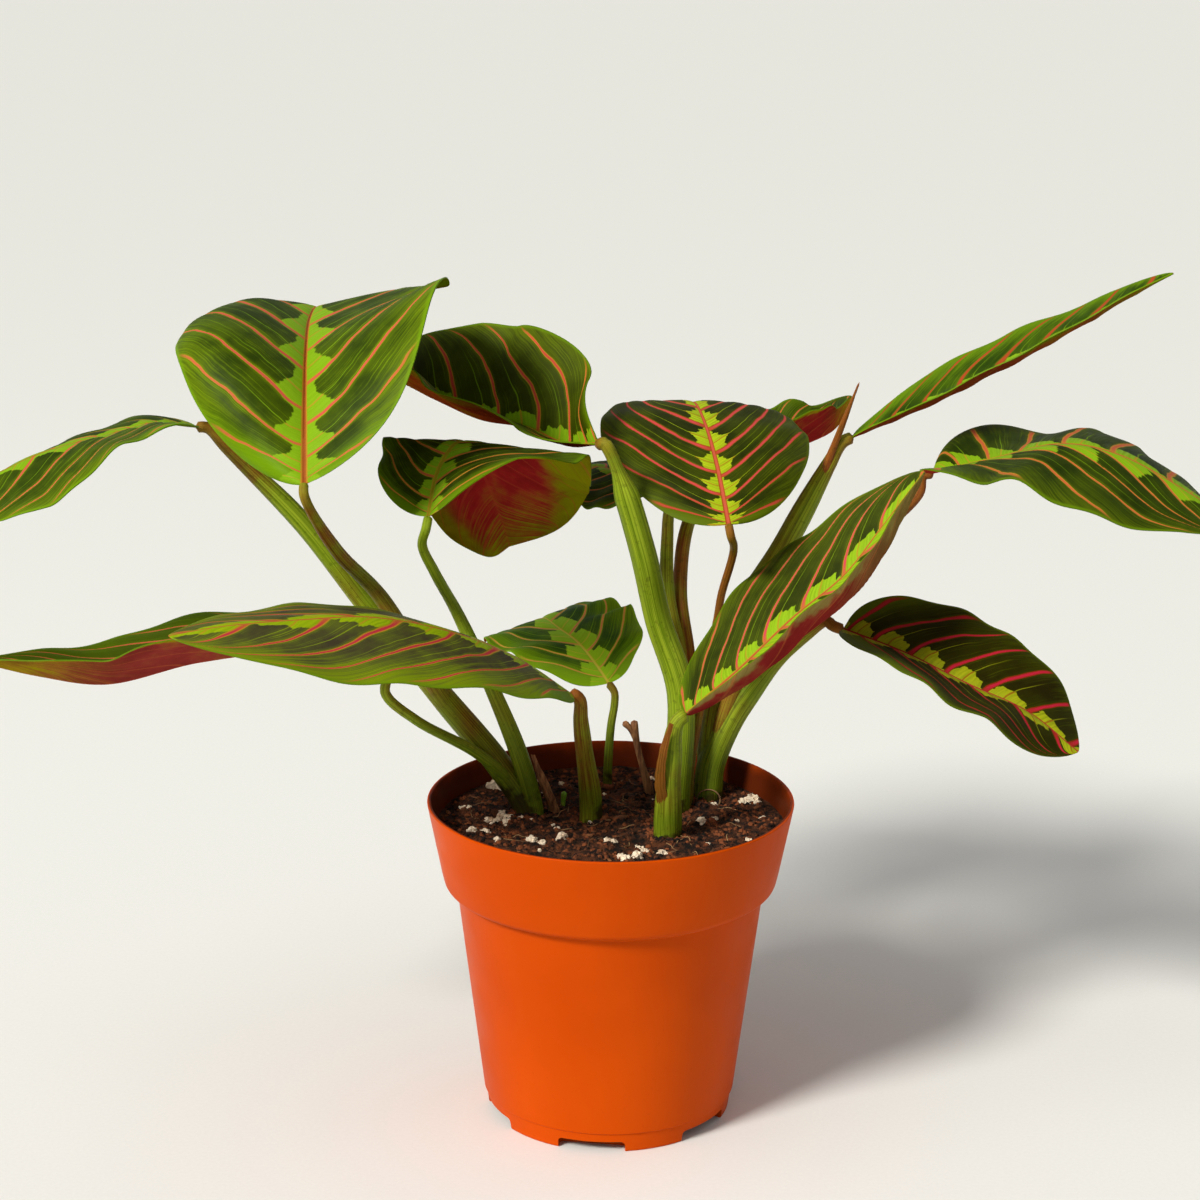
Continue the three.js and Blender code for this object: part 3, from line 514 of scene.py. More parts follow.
# rib: the midrib from base to tip. across: the way to the right edge, at base and tip. half: the
# width of each half. left, right: how far each half rises, in degrees, from base to tip. ends: how
# pointed the outline is at base and tip. curl: the turn added toward each edge. ripple: waves of
# the edge. stalk, radii: the stalk up from the soil. brown, red: how brown it is from soil to
# blade, from 0 to 1, and how red that brown is.
leaves = {
    "leaf_top_left": dict(
        stem="stems_left", across=[[1, 0, 0], [1, 0.1, 0.05]], half=[42, 46],
        left=[10, 35, 25, -10], right=[14, 31, 12, 5], ends=[0.75, 0.7], curl=[-90, 0], ripple=0.4,
        rib=[[-86, -30, 200], [-88, -8, 220], [-90, 14, 230], [-92, 42, 235], [-92, 66, 235],
             [-91, 84, 226]],
        stalk=[[-26, 9, 90], [-34, 12, 104], [-50, 14, 123], [-68, 4, 158], [-79, -14, 177]],
        radii=[3, 3, 2.6, 2, 1.3], brown=[0.3, 0.4, 0.35, 0.6], red=0.3,
    ),
    "leaf_far_left": dict(
        stem="stems_left", across=[-0.4, 0.9, 0], half=28, left=[10, 5, -20, -45],
        right=[5, -5, -20, -30], curl=[0, -20],
        rib=[[-122, 10, 208], [-134, 5, 210], [-144, 1, 208], [-163, -7, 204], [-175, -12, 199],
             [-192, -19, 190]],
        stalk=[[-25, 9, 90], [-34, 12, 104], [-50, 15, 123], [-72, 15, 151], [-93, 13, 180],
               [-114, 12, 202]],
        radii=[4.2, 4, 3.2, 3, 1.6], brown=[0.4, 0.4, 0.2, 0.15, 0.9], red=0.1,
    ),
    "leaf_curled_left": dict(
        stem="stems_left", across=[[0.8, -0.6, 0], [1, 0.1, 0]], half=[24, 39],
        left=[15, -5, -10, -50], right=[25, -3, -15, -5], ends=[0.5, 0.3], ripple=2,
        rib=[[-53, -9, 186], [-51, 0, 197], [-47, 10, 203], [-43, 24, 201], [-40, 35, 191],
             [-36, 42, 178], [-32, 45, 164]],
        stalk=[[-23, 7, 90], [-28, 9, 109], [-41, 12, 140], [-46, 10, 152], [-52, -2, 168],
               [-55, -7, 177]],
        radii=[3, 2.8, 2.2, 1.6, 1.3], brown=[0.25, 0.1, 0.05, 0.1], red=0.1,
    ),
    "leaf_behind_left": dict(
        stem="stems_left", across=[-0.25, 0.97, 0], half=22, left=[38, 38], right=[22, 22],
        rib=[[-70, 0, 137], [-94, -6, 144], [-120, -12, 143], [-146, -18, 138], [-164, -24, 142],
             [-180, -28, 147]],
        stalk=[[-27, 9, 91], [-30, 9, 99], [-40, 7, 109], [-58, 2, 121], [-67, 0, 130]],
        radii=[2, 1.8, 1.5, 1.5], brown=[0, 0, 0, 0.2, 0.4], red=0.1,
    ),
    "leaf_front_left": dict(
        stem="stem_front_left", across=[-0.5, 0.85, 0], half=30, left=[-15, -20, -28, -20],
        right=[-6, -6],
        rib=[[-12, -5, 132], [-26, -12, 144], [-45, -25, 156], [-67, -38, 164], [-84, -48, 166],
             [-106, -60, 167], [-119, -66, 166]],
        stalk=[[-6, 3, 96], [-8, -0.5, 113], [-9, -2.5, 123]],
        radii=[3.8, 3.4, 2.6, 1.8], brown=[0.1, 0.3, 0.5, 0.9], red=0.5,
    ),
    "leaf_small_centre": dict(
        stem="stem_small_centre", across=[0.75, 0.65, 0], half=25, left=[0, -5, -10, -10],
        right=[0, 12, 10, 0], ripple=1.5,
        rib=[[-1, 45, 120], [-6, 50, 126], [-11, 57, 130], [-17, 66, 132], [-22, 78, 132],
             [-25, 92, 126]],
        stalk=[[-1, 36, 94], [0, 40, 108], [1, 42, 114]],
        radii=[1.5, 1.2], brown=[0.2, 0.3, 0.3, 0.5], red=0.1,
    ),
    "leaf_back_centre": dict(
        stem="stems_centre", across=[[0.5, 0.85, 0], [0.7, 0.7, 0]], half=32,
        left=[18, 20, 33, 35], right=[78, 63, 66, 60], ends=[1.1, 0.7], curl=[10, -10], ripple=0.3,
        rib=[[-4, 8, 204], [-14, 26, 200], [-27, 38, 203], [-41, 50, 203], [-53, 60, 206],
             [-67, 74, 210], [-77, 90, 211]],
        stalk=[[20, 14, 94], [21, 20, 125], [14, 19, 148], [9, 12, 171], [2, 7, 195]],
        radii=[4.2, 4.3, 4.3, 4.3, 4.2, 4.2, 4.1, 4, 4, 3.9, 3.8, 1.9, 1.8],
        brown=[0.2, 0.1, 0, 0, 0, 0, 0, 0, 0.1, 0.6], red=0.1,
    ),
    "leaf_hidden_centre": dict(
        stem="stems_centre", across=[0.7, 0.7, 0], half=17, left=[-30, -35, -35, -30],
        right=[0, 0],
        rib=[[15, 45, 184], [7, 54, 185], [-3, 65, 185], [-13, 76, 183]],
        stalk=[[22, 16, 94], [23, 21, 112], [21, 28, 133], [17, 36, 153], [17, 42, 172]],
        radii=[2.4, 2.4, 2.2, 1.6], brown=[0.2, 0.4, 0.3, 0.3], red=0.3,
    ),
    "leaf_back_right": dict(
        stem="stems_centre", across=[0.4, -0.9, 0], half=17, left=[25, 35, 45, 40],
        right=[40, 50, 50, 40], ripple=0.3,
        rib=[[40, 64, 189], [52, 68, 190], [62, 73, 192], [71, 78, 196], [76, 82, 205]],
        stalk=[[23, 18, 94], [23.5, 23, 112], [23.5, 30, 132], [21, 40, 152], [24, 50, 172],
               [34, 60, 184]],
        radii=[2.4, 2.4, 2.2, 1.6], brown=[0.3, 0.7, 0.6, 0.5], red=0.4,
    ),
    "leaf_centre": dict(
        stem="stems_centre", across=[1, 0, 0], half=32, left=[0, 0], right=[0, 0], curl=[-10, -30],
        rib=[[34, 5, 181], [31, 20, 195], [28, 38, 204], [25, 60, 207], [23, 82, 199]],
        stalk=[[23, 15, 94], [27, 22, 120], [30, 27, 134], [32, 26, 146], [33, 22, 155],
               [36, 13, 171]],
        radii=[2, 1.6, 1.2, 1.2], brown=[0.3, 0.7, 0.9, 0.9], red=0.2,
    ),
    "leaf_front_right": dict(
        stem="stem_front_right", across=[0.35, -0.93, -0.06], half=28, left=[5, 10, 10, 5],
        right=[0, -5, -5, -5, 0], curl=[0, 100],
        rib=[[22, -12, 128], [37, -7, 140], [53, -3, 155], [68, 1, 167], [79, 4, 181],
             [91, 6, 197]],
        stalk=[[17, -12, 92], [17, -13, 102], [17.5, -13, 114]],
        radii=[4.4, 4.2, 3.4, 2], brown=[0.05, 0.1, 0.3, 0.5], red=0.1,
    ),
    "leaf_drooping_right": dict(
        stem="stems_right", across=[-0.37, -0.93, 0], half=24, left=[45, 35, 30, 20],
        right=[8, 8, 0, -45], ends=[0.4, 0.7],
        rib=[[70, 20, 145], [88, 12, 140], [106, 4, 133], [123, -4, 127], [137, -11, 117]],
        stalk=[[30, 23, 90], [31, 26, 100], [37, 29, 114], [45, 30, 126], [53, 28, 136],
               [59, 26, 142], [65, 23, 147]],
        radii=[4.2, 4.4, 4.2, 2.6, 1.6], brown=[0, 0, 0.1, 0.6, 1], red=0.2,
    ),
    "leaf_spear_right": dict(
        stem="stems_right", across=[0.3, -0.95, 0], half=[13, 14], left=[5, 16, 8, -4, 5],
        right=[10, 5, 5, 5, 10], ends=[0.6, 0.7], curl=[10, 60], ripple=0.3,
        rib=[[73, 41, 200], [91, 36, 210], [120, 28, 227.5], [148, 20, 245.5], [162, 16, 254]],
        stalk=[[31, 25, 90], [31, 29, 106], [34, 35, 124], [41, 40, 145], [52, 42, 164],
               [66, 43, 191]],
        radii=[3.6, 4.2, 4.2, 3.6, 1.8], brown=[0.1, 0.2, 0.3, 0.2, 0.6], red=0.2,
    ),
    "leaf_far_right": dict(
        stem="stems_right", across=[-0.6, -0.8, 0], half=30, left=[40, 5, -10, -20],
        right=[10, -10, -24, -22], ends=[0.36, 0.7], curl=[-15, 0], ripple=1,
        rib=[[96, 27, 192], [111, 18, 198], [130, 4, 206], [145, -6, 205], [167, -16, 194],
             [178, -20, 187]],
        stalk=[[31, 23, 90], [32, 26, 104], [40, 29, 128], [53, 30, 144], [66, 29, 157],
               [81, 28, 174], [92, 27, 186]],
        radii=[2.5, 2.5, 2.4, 1.6], brown=[0.3, 0.4, 0.6, 0.8, 0.9], red=0.5,
    ),
}
PLAIN_BLADE = dict(ends=[0.5, 0.7], curl=[0, 0], ripple=0.6)
leaves = {name: PLAIN_BLADE | leaf for name, leaf in leaves.items()}
ROOTED_TO = 76
JOINT = 3
STALK_SIDES = 28
STALK_STEP = 1.1
RIDGE_DEPTH = 0.014
JOINT_KNOTS = ((0.97, 0.05, 0.02),)


def stalk_points(leaf):
    """The stalk's line: straight up out of the soil, and at its end in line with the midrib."""
    (end,), (way,) = along_line(bent_line(leaf["rib"]), np.array([0.0]))
    root = (*leaf["stalk"][0][:2], ROOTED_TO)
    return [root, *leaf["stalk"], end - way * (JOINT + 0.65), end + way * 0.4]


def mark(piece, **marks):
    """Keeps numbers with a piece's points, for its finish to read."""
    for name, values in marks.items():
        layer = piece.data.attributes.new(name, "FLOAT", "POINT")
        layer.data.foreach_set("value", np.full(len(layer.data), values, float))


def stalk_piece(leaf):
    """A ridged stalk, marked along its length with how brown and red it is."""
    points = stalk_points(leaf)
    stalk = tube("stalk", points, leaf["radii"], STALK_SIDES, STALK_STEP, RIDGE_DEPTH, JOINT_KNOTS)
    corners = np.empty(3 * len(stalk.data.vertices))
    stalk.data.vertices.foreach_get("co", corners)
    close, lengths = bent_line(points)
    gaps = np.linalg.norm(corners.reshape(-1, 1, 3) / MM - close[None, ::8], axis=2)
    share = lengths[::8][gaps.argmin(axis=1)] / lengths[-1]
    mark(stalk, brown=at_station(leaf["brown"], share), red=leaf["red"], share=share)
    return stalk


flesh = Finish("stalk_flesh", Specular_IOR_Level=0.1)
around, along = flesh.pair("UVMap")
spot = flesh.place()
streaks = flesh.noise(flesh.point(flesh.times(around, 70), flesh.times(along, 3)), 1, 4, 0.6)
patches = flesh.noise(spot, 55, 3)
green = flesh.blend(flesh.ramp(streaks, 0.32, 0.68), tint(88, 116, 4), tint(158, 176, 40))
pale = flesh.ramp(flesh.value("share"), 0.3, 0.05, 0, 0.3)
green = flesh.blend(pale, green, tint(120, 146, 12))
brown = flesh.blend(flesh.value("red"), tint(98, 60, 14), tint(126, 40, 24))
brown = flesh.blend(flesh.spread(streaks), brown, tint(156, 100, 34))
amount = flesh.plus(flesh.value("brown"), flesh.spread(patches, -0.25, 0.25))
amount = flesh.plus(amount, flesh.spread(streaks, 0.15, -0.15))
colour = flesh.blend(flesh.ramp(amount, 0.15, 0.85), green, brown)
# Low down a stalk is darker, and at the soil it is soiled.
height = flesh.add("ShaderNodeSeparateXYZ", {0: spot}).node.outputs[2]
height = flesh.plus(height, flesh.spread(patches, -0.006, 0.006))
colour = flesh.blend(flesh.ramp(height, 0.125, 0.094, 0, 0.45), colour, tint(44, 58, 6))
specks = flesh.ramp(flesh.noise(spot, 700, 2), 0.58, 0.7, 0, 0.35)
colour = flesh.blend(specks, colour, tint(66, 66, 14))
soiled = flesh.plus(height, flesh.spread(flesh.noise(spot, 500, 3), -0.001, 0.002))
colour = flesh.blend(flesh.ramp(soiled, 0.095, 0.0905, 0, 0.85), colour, tint(44, 26, 14))
flesh.paint(colour, flesh.spread(streaks, 0.38, 0.55))
flesh.relief(streaks, 0.25, 0.7)


DRY_STRIP = dict(
    points=[(16, -14.5, 97), (14.6, -16.5, 108), (15, -17.5, 117), (17.5, -18, 127)],
    across=(0.9, -0.4, 0), widths=[3.6, 3.4, 2.6, 1.2],
)
WITHERED_SPIKE = [(64, 42.5, 186), (66, 41.5, 193), (70, 38, 206), (74, 36, 218)]
WITHERED_RADII = [1.6, 1, 0.3]


def dry_scale(name, points, across, widths):
    """A narrow papery scale: a thin cupped strip with a frayed edge."""
    line = bent_line(points)

    def place(u, v):
        spots, ways = along_line(line, v)
        side = np.cross(ways, np.cross(np.array(across, float), ways))
        side /= np.linalg.norm(side, axis=1, keepdims=True)
        up = np.cross(side, ways)
        fray = 1 + 0.1 * np.sin(31 * v) * np.sin(17 * v + 9 * np.round(u))
        t = (2 * u - 1) * at_station(widths, v) / 2 * fray
        cup = 0.35 * (1 - (2 * u - 1) ** 2) * at_station(widths, v) / 2
        cup += 0.12 * np.sin(2 * np.pi * 4 * u + 3 * v)
        return spots + t[:, None] * side + cup[:, None] * up

    scale = grid_piece(name, 16, 50, place)
    paper = scale.modifiers.new("paper", "SOLIDIFY")
    paper.thickness = 0.35 * MM
    paper.offset = 0
    harden(scale, paper)
    mark(scale, brown=1.6, red=0.3, share=0.5)
    return scale


stem_names = sorted({leaf["stem"] for leaf in leaves.values()})
for stem_name in stem_names:
    group = [stalk_piece(leaf) for leaf in leaves.values() if leaf["stem"] == stem_name]
    if stem_name == "stem_front_right":
        group.append(dry_scale("strip", **DRY_STRIP))
    if stem_name == "stems_right":
        spike = tube("spike", WITHERED_SPIKE, WITHERED_RADII, 12, 1)
        mark(spike, brown=1.4, red=0.6, share=0.5)
        group.append(spike)
    stems = gather(group, stem_name.replace("stem", "stalk"))
    smooth(stems, 70)
    flesh.coat_piece(stems)
    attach(stems, "root")
    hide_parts(stem_name)

# ==== Leaf blades ====
# Fourteen thin oval blades, each carried by a stalk. Above they are dark green with lime lobes
# along the midrib and red veins that arch out to the edge, and below they are maroon.

BLADE_ROWS = 150
BLADE_COLUMNS = 72
BLADE_THICKNESS = 0.4
RIPPLES = 4.5

# veins: how many there are to a side. crowd: how they crowd toward the base. offset: how far the
# left and right side's veins lie along, in cells. arc: for the left and right side, how a vein
# leans toward the tip, its most, and how late it bows. width: of a vein, at midrib and edge.
# lobes: the least, the added and the spiked width of the lime lobes. tooth: where in a cell a lobe
# starts, how long it is, and what is left of it there. teeth: how deep its edge is toothed. dark:
# how far out the dark field starts and stops to pale. maroon, green_edge: where the underside
# turns green toward the tip and the edge. The colours are of the lobes (lime), the field between
# veins and its edge, the base (fresh), a vein's core and border, the midrib's core (rib), and of
# the underside, its tip and its veins (below).
STEADY_ARCS = ((1.4, 1, 2), (1.4, 1, 2))
bright = dict(
    veins=7.5, crowd=0.6, offset=(0.12, 0.54), arc=((0.95, 1, 2.1), (0.8, 1, 1.8)),
    width=(0.032, 0.03), lobes=(0.08, 0.14, 0), tooth=(-0.1, 0.85, 0.05), teeth=0.05,
    dark=(0.95, 0.6), maroon=(0.6, 1.1), green_edge=(0.9, 1.0), lime=(126, 166, 20),
    field=(38, 54, 0), edge=(98, 122, 2), fresh=(108, 148, 2), vein=(196, 78, 66),
    border=(172, 122, 34), rib=(150, 78, 30), below=(96, 116, 6),
    below_tip=(96, 116, 6), below_vein=(150, 110, 40),
)
lined = dict(
    bright, offset=(0.1, 0.5), arc=STEADY_ARCS, lobes=(0.02, 0.16, 0.03),
    tooth=(0, 0.8, 0.6), teeth=0.15, width=(0.04, 0.035), field=(30, 44, 0), edge=(80, 102, 4),
    fresh=(96, 128, 4), vein=(190, 66, 66), rib=(170, 84, 46), below=(176, 60, 40),
    below_tip=(150, 140, 10), below_vein=(180, 96, 50),
)
dark = dict(
    lined, lobes=(0.03, 0.1, 0.08), tooth=(0.03, 0.7, 0.5), width=(0.058, 0.05),
    lime=(168, 188, 24), field=(30, 36, 0), edge=(76, 88, 2), fresh=(86, 104, 4),
    vein=(196, 66, 68), border=(150, 70, 20), rib=(190, 84, 60),
)
looks = {
    "leaf_top_left": bright,
    "leaf_far_left": dict(bright, arc=STEADY_ARCS, veins=8),
    "leaf_curled_left": dict(
        lined, veins=8.5, crowd=0.55, offset=(0.06, 0.4), arc=((1, 0.7, 2.5), (1.3, 0.9, 1.5)),
        lobes=(0.03, 0.14, 0), maroon=(0.8, 1.1), green_edge=(0.5, 0.8), field=(30, 38, 0),
        vein=(180, 84, 50), rib=(140, 140, 20), below=(182, 40, 42), below_tip=(146, 160, 6),
        below_vein=(200, 80, 50),
    ),
    "leaf_behind_left": dict(lined, field=(60, 76, 6), below=(150, 58, 52)),
    "leaf_front_left": dict(
        lined, veins=8.8, crowd=0.55, offset=(0.07, 0.4), arc=((1.3, 1, 2), (1.3, 1, 2)),
        lobes=(0.03, 0.15, 0.05), tooth=(-0.05, 0.85, 0.4), width=(0.05, 0.042), dark=(0.8, 0.5),
        lime=(150, 172, 12), field=(60, 54, 36), edge=(112, 130, 6), vein=(176, 48, 58),
    ),
    "leaf_small_centre": dict(
        lined, veins=6, lobes=(0.08, 0.2, 0), dark=(0.85, 0.4), lime=(172, 228, 36),
        field=(46, 84, 8), edge=(124, 166, 14), fresh=(152, 202, 26), vein=(236, 140, 90),
        border=(226, 210, 60), rib=(232, 226, 80),
    ),
    "leaf_back_centre": dict(
        lined, veins=7.2, crowd=0.7, offset=(0.4, 0.93), arc=((0.95, 0.6, 2.2), (0.95, 0.6, 2.2)),
        lobes=(0.03, 0.11, 0.03), green_edge=(0.6, 1.0), field=(42, 50, 0), edge=(82, 98, 2),
        vein=(190, 66, 50), below=(128, 48, 12), below_tip=(104, 100, 6), below_vein=(160, 84, 30),
    ),
    "leaf_hidden_centre": dict(lined, veins=6),
    "leaf_back_right": dict(lined, veins=6, below=(150, 34, 34)),
    "leaf_centre": dict(dark, veins=8.6, crowd=0.55, offset=(0.34, 0.53)),
    "leaf_front_right": dict(
        lined, veins=8.2, offset=(0.88, 0.4), maroon=(0.45, 0.9), lime=(146, 184, 30),
        field=(42, 50, 10), edge=(86, 102, 14), vein=(200, 66, 78), below=(138, 38, 36),
        below_tip=(134, 124, 64),
    ),
    "leaf_drooping_right": dict(
        dark, veins=6.5, crowd=0.8, offset=(0.73, 0.12), arc=((1, 0.4, 2), (1.5, 1, 2)),
        lobes=(0.02, 0.2, 0.04), tooth=(0.05, 0.78, 0.5), width=(0.05, 0.045),
        lime=(154, 160, 20), field=(30, 26, 0), edge=(54, 60, 0), vein=(176, 30, 52),
        border=(128, 40, 14), rib=(160, 50, 46),
    ),
    "leaf_spear_right": dict(
        bright, veins=8.4, crowd=0.7, offset=(0.07, 0.4), arc=((0.5, 0.35, 2), (0.5, 0.35, 2)),
        lobes=(0.02, 0.1, 0), width=(0.06, 0.05), dark=(0.8, 0.3), field=(34, 56, 0),
        edge=(92, 124, 6), fresh=(100, 134, 8), vein=(164, 66, 30), border=(130, 80, 20),
        below=(140, 66, 30),
    ),
    "leaf_far_right": dict(
        lined, veins=8, crowd=0.62, offset=(0.21, 0.7), arc=((1, -0.12, 1), (1.8, 1, 1.1)),
        lobes=(0.03, 0.22, 0), tooth=(0, 0.78, 0.3), width=(0.038, 0.034), edge=(74, 90, 4),
        vein=(186, 88, 50),
    ),
}


def vein_place(look, s, t):
    """Where a point lies among the veins: its cell, counted along the midrib from the base.

    A vein's start on the midrib is sought by halving: from there it leans and bows to the tip.
    """
    lean, most, bow = (np.where(t < 0, *pair) for pair in zip(*look["arc"]))
    low, high = np.zeros_like(s), np.ones_like(s)
    for _ in range(20):
        start = (low + high) / 2
        reach = np.minimum(most, lean * np.sqrt(start)) * np.abs(t) ** (bow * (1 - 0.7 * start))
        short = start + (1 - start) * reach < s
        low, high = np.where(short, start, low), np.where(short, high, start)
    return look["veins"] * start ** look["crowd"] + np.where(t < 0, *look["offset"])


def outline(leaf, s):
    """The width of a blade at s as a share of its widest."""
    low, high = leaf["ends"]
    return np.sin(np.pi * s.clip(0, 1) ** 0.9).clip(0) ** (low + (high - low) * s)


def blade_place(leaf, look, s, t):
    """Points of a blade in mm, at s from base to tip and t from the left edge to the right."""
    spots, ways = along_line(bent_line(leaf["rib"]), s)
    ends = np.broadcast_to(np.array(leaf["across"], float), (2, 3))
    across = ends[0] + (ends[1] - ends[0]) * s[:, None]
    across -= (across * ways).sum(axis=1, keepdims=True) * ways
    across /= np.linalg.norm(across, axis=1, keepdims=True)
    up = np.cross(across, ways)
    out, side = np.abs(t), np.where(t < 0, -1, 1)
    half = np.where(t < 0, *np.broadcast_to(leaf["half"], 2))
    half = np.maximum(half * outline(leaf, s), 0.8 - 0.65 * s)
    fold = np.where(t < 0, at_station(leaf["left"], s), at_station(leaf["right"], s))
    curl = np.where(t < 0, *leaf["curl"])
    steps = (np.arange(16) + 0.5) / 16
    turns = np.radians(fold[:, None] + curl[:, None] * (out[:, None] * steps) ** 2)
    x = half * out * np.cos(turns).mean(axis=1)
    z = half * out * np.sin(turns).mean(axis=1)
    z += leaf["ripple"] * np.sin(np.pi * s) * np.sin(2 * np.pi * RIPPLES * s + 2 * side) * out**2
    cell = vein_place(look, s, t) % 1
    quilt = np.sin(np.pi * cell) ** 0.7 * (out / 0.12).clip(0, 1) * ((1 - out) / 0.1).clip(0, 1)
    groove = np.exp(-((half * out / 0.7) ** 2)) * np.sin(np.pi * s) ** 0.3
    puff = (0.45 * quilt - 0.3 * groove) * np.sin(np.pi * s) ** 0.5
    turn = np.radians(fold + curl * out**2)
    x, z = x - puff * np.sin(turn), z + puff * np.cos(turn)
    return spots + (side * x)[:, None] * across + z[:, None] * up


def blade_piece(name, leaf, look):
    """A blade with its thickness, its second finish below, and its vein pattern's coordinates."""
    def s_of(v):
        return (1 - np.cos(np.pi * v)) / 2 * 0.6 + v * 0.4

    piece = grid_piece(name, BLADE_COLUMNS, BLADE_ROWS,
                       lambda u, v: blade_place(leaf, look, s_of(v), 2 * u - 1))
    mesh = piece.data
    plain = mesh.uv_layers[0]
    flat = np.empty(2 * len(mesh.loops))
    plain.data.foreach_get("uv", flat)
    u, v = flat.reshape(-1, 2).T
    s, t = s_of(v), 2 * u - 1
    middle = np.repeat(np.add.reduceat(t, np.arange(0, len(t), 4)) / 4, 4)
    sided = np.where(np.abs(t) < 1e-6, np.sign(middle) * 1e-6, t)
    width = outline(leaf, s)
    plain.data.foreach_set("uv", np.stack([u, s], axis=1).ravel())
    veins = mesh.uv_layers.new(name="veins")
    pattern = np.stack([vein_place(look, s, sided), np.abs(t) * width], axis=1)
    veins.data.foreach_set("uv", pattern.ravel())
    shell = piece.modifiers.new("shell", "SOLIDIFY")
    shell.thickness = BLADE_THICKNESS * MM
    shell.offset = 0
    shell.material_offset = 1
    shell.material_offset_rim = 0
    return piece, shell


def lobes(leaf, look, cell, out, s):
    """Where the lime lobes are. Each starts at a vein and falls off before the next."""
    start, span, left = look["tooth"]
    least, added, spike = look["lobes"]
    jag = leaf.noise(leaf.point(leaf.times(cell, 9), leaf.times(out, 10)), 1, 3)
    shifted = leaf.plus(cell, leaf.spread(jag, -start - 0.03, -start + 0.03))
    share = leaf.sum("FRACT", shifted)
    slope = leaf.ramp(share, 0, span, added, added * left)
    slope = leaf.times(slope, leaf.ramp(share, 0, 0.08))
    slope = leaf.times(slope, leaf.ramp(share, span + 0.04, span - 0.04))
    off_middle = leaf.sum("ABSOLUTE", leaf.sum("SUBTRACT", share, 0.38))
    point = leaf.add("ShaderNodeMapRange", {0: off_middle, 1: 0.13, 2: 0, 3: 0, 4: spike})
    teeth = leaf.times(leaf.sum("PINGPONG", shifted, 0.07), look["teeth"])
    reach = leaf.plus(leaf.plus(slope, least), leaf.plus(point, teeth))
    reach = leaf.plus(reach, leaf.ramp(jag, 0.25, 0.75, -0.015, 0.015))
    narrowing = leaf.ramp(s, 1, 0.4, 0.45, 1)
    return leaf.ramp(leaf.sum("SUBTRACT", leaf.times(reach, narrowing), out), -0.006, 0.006)


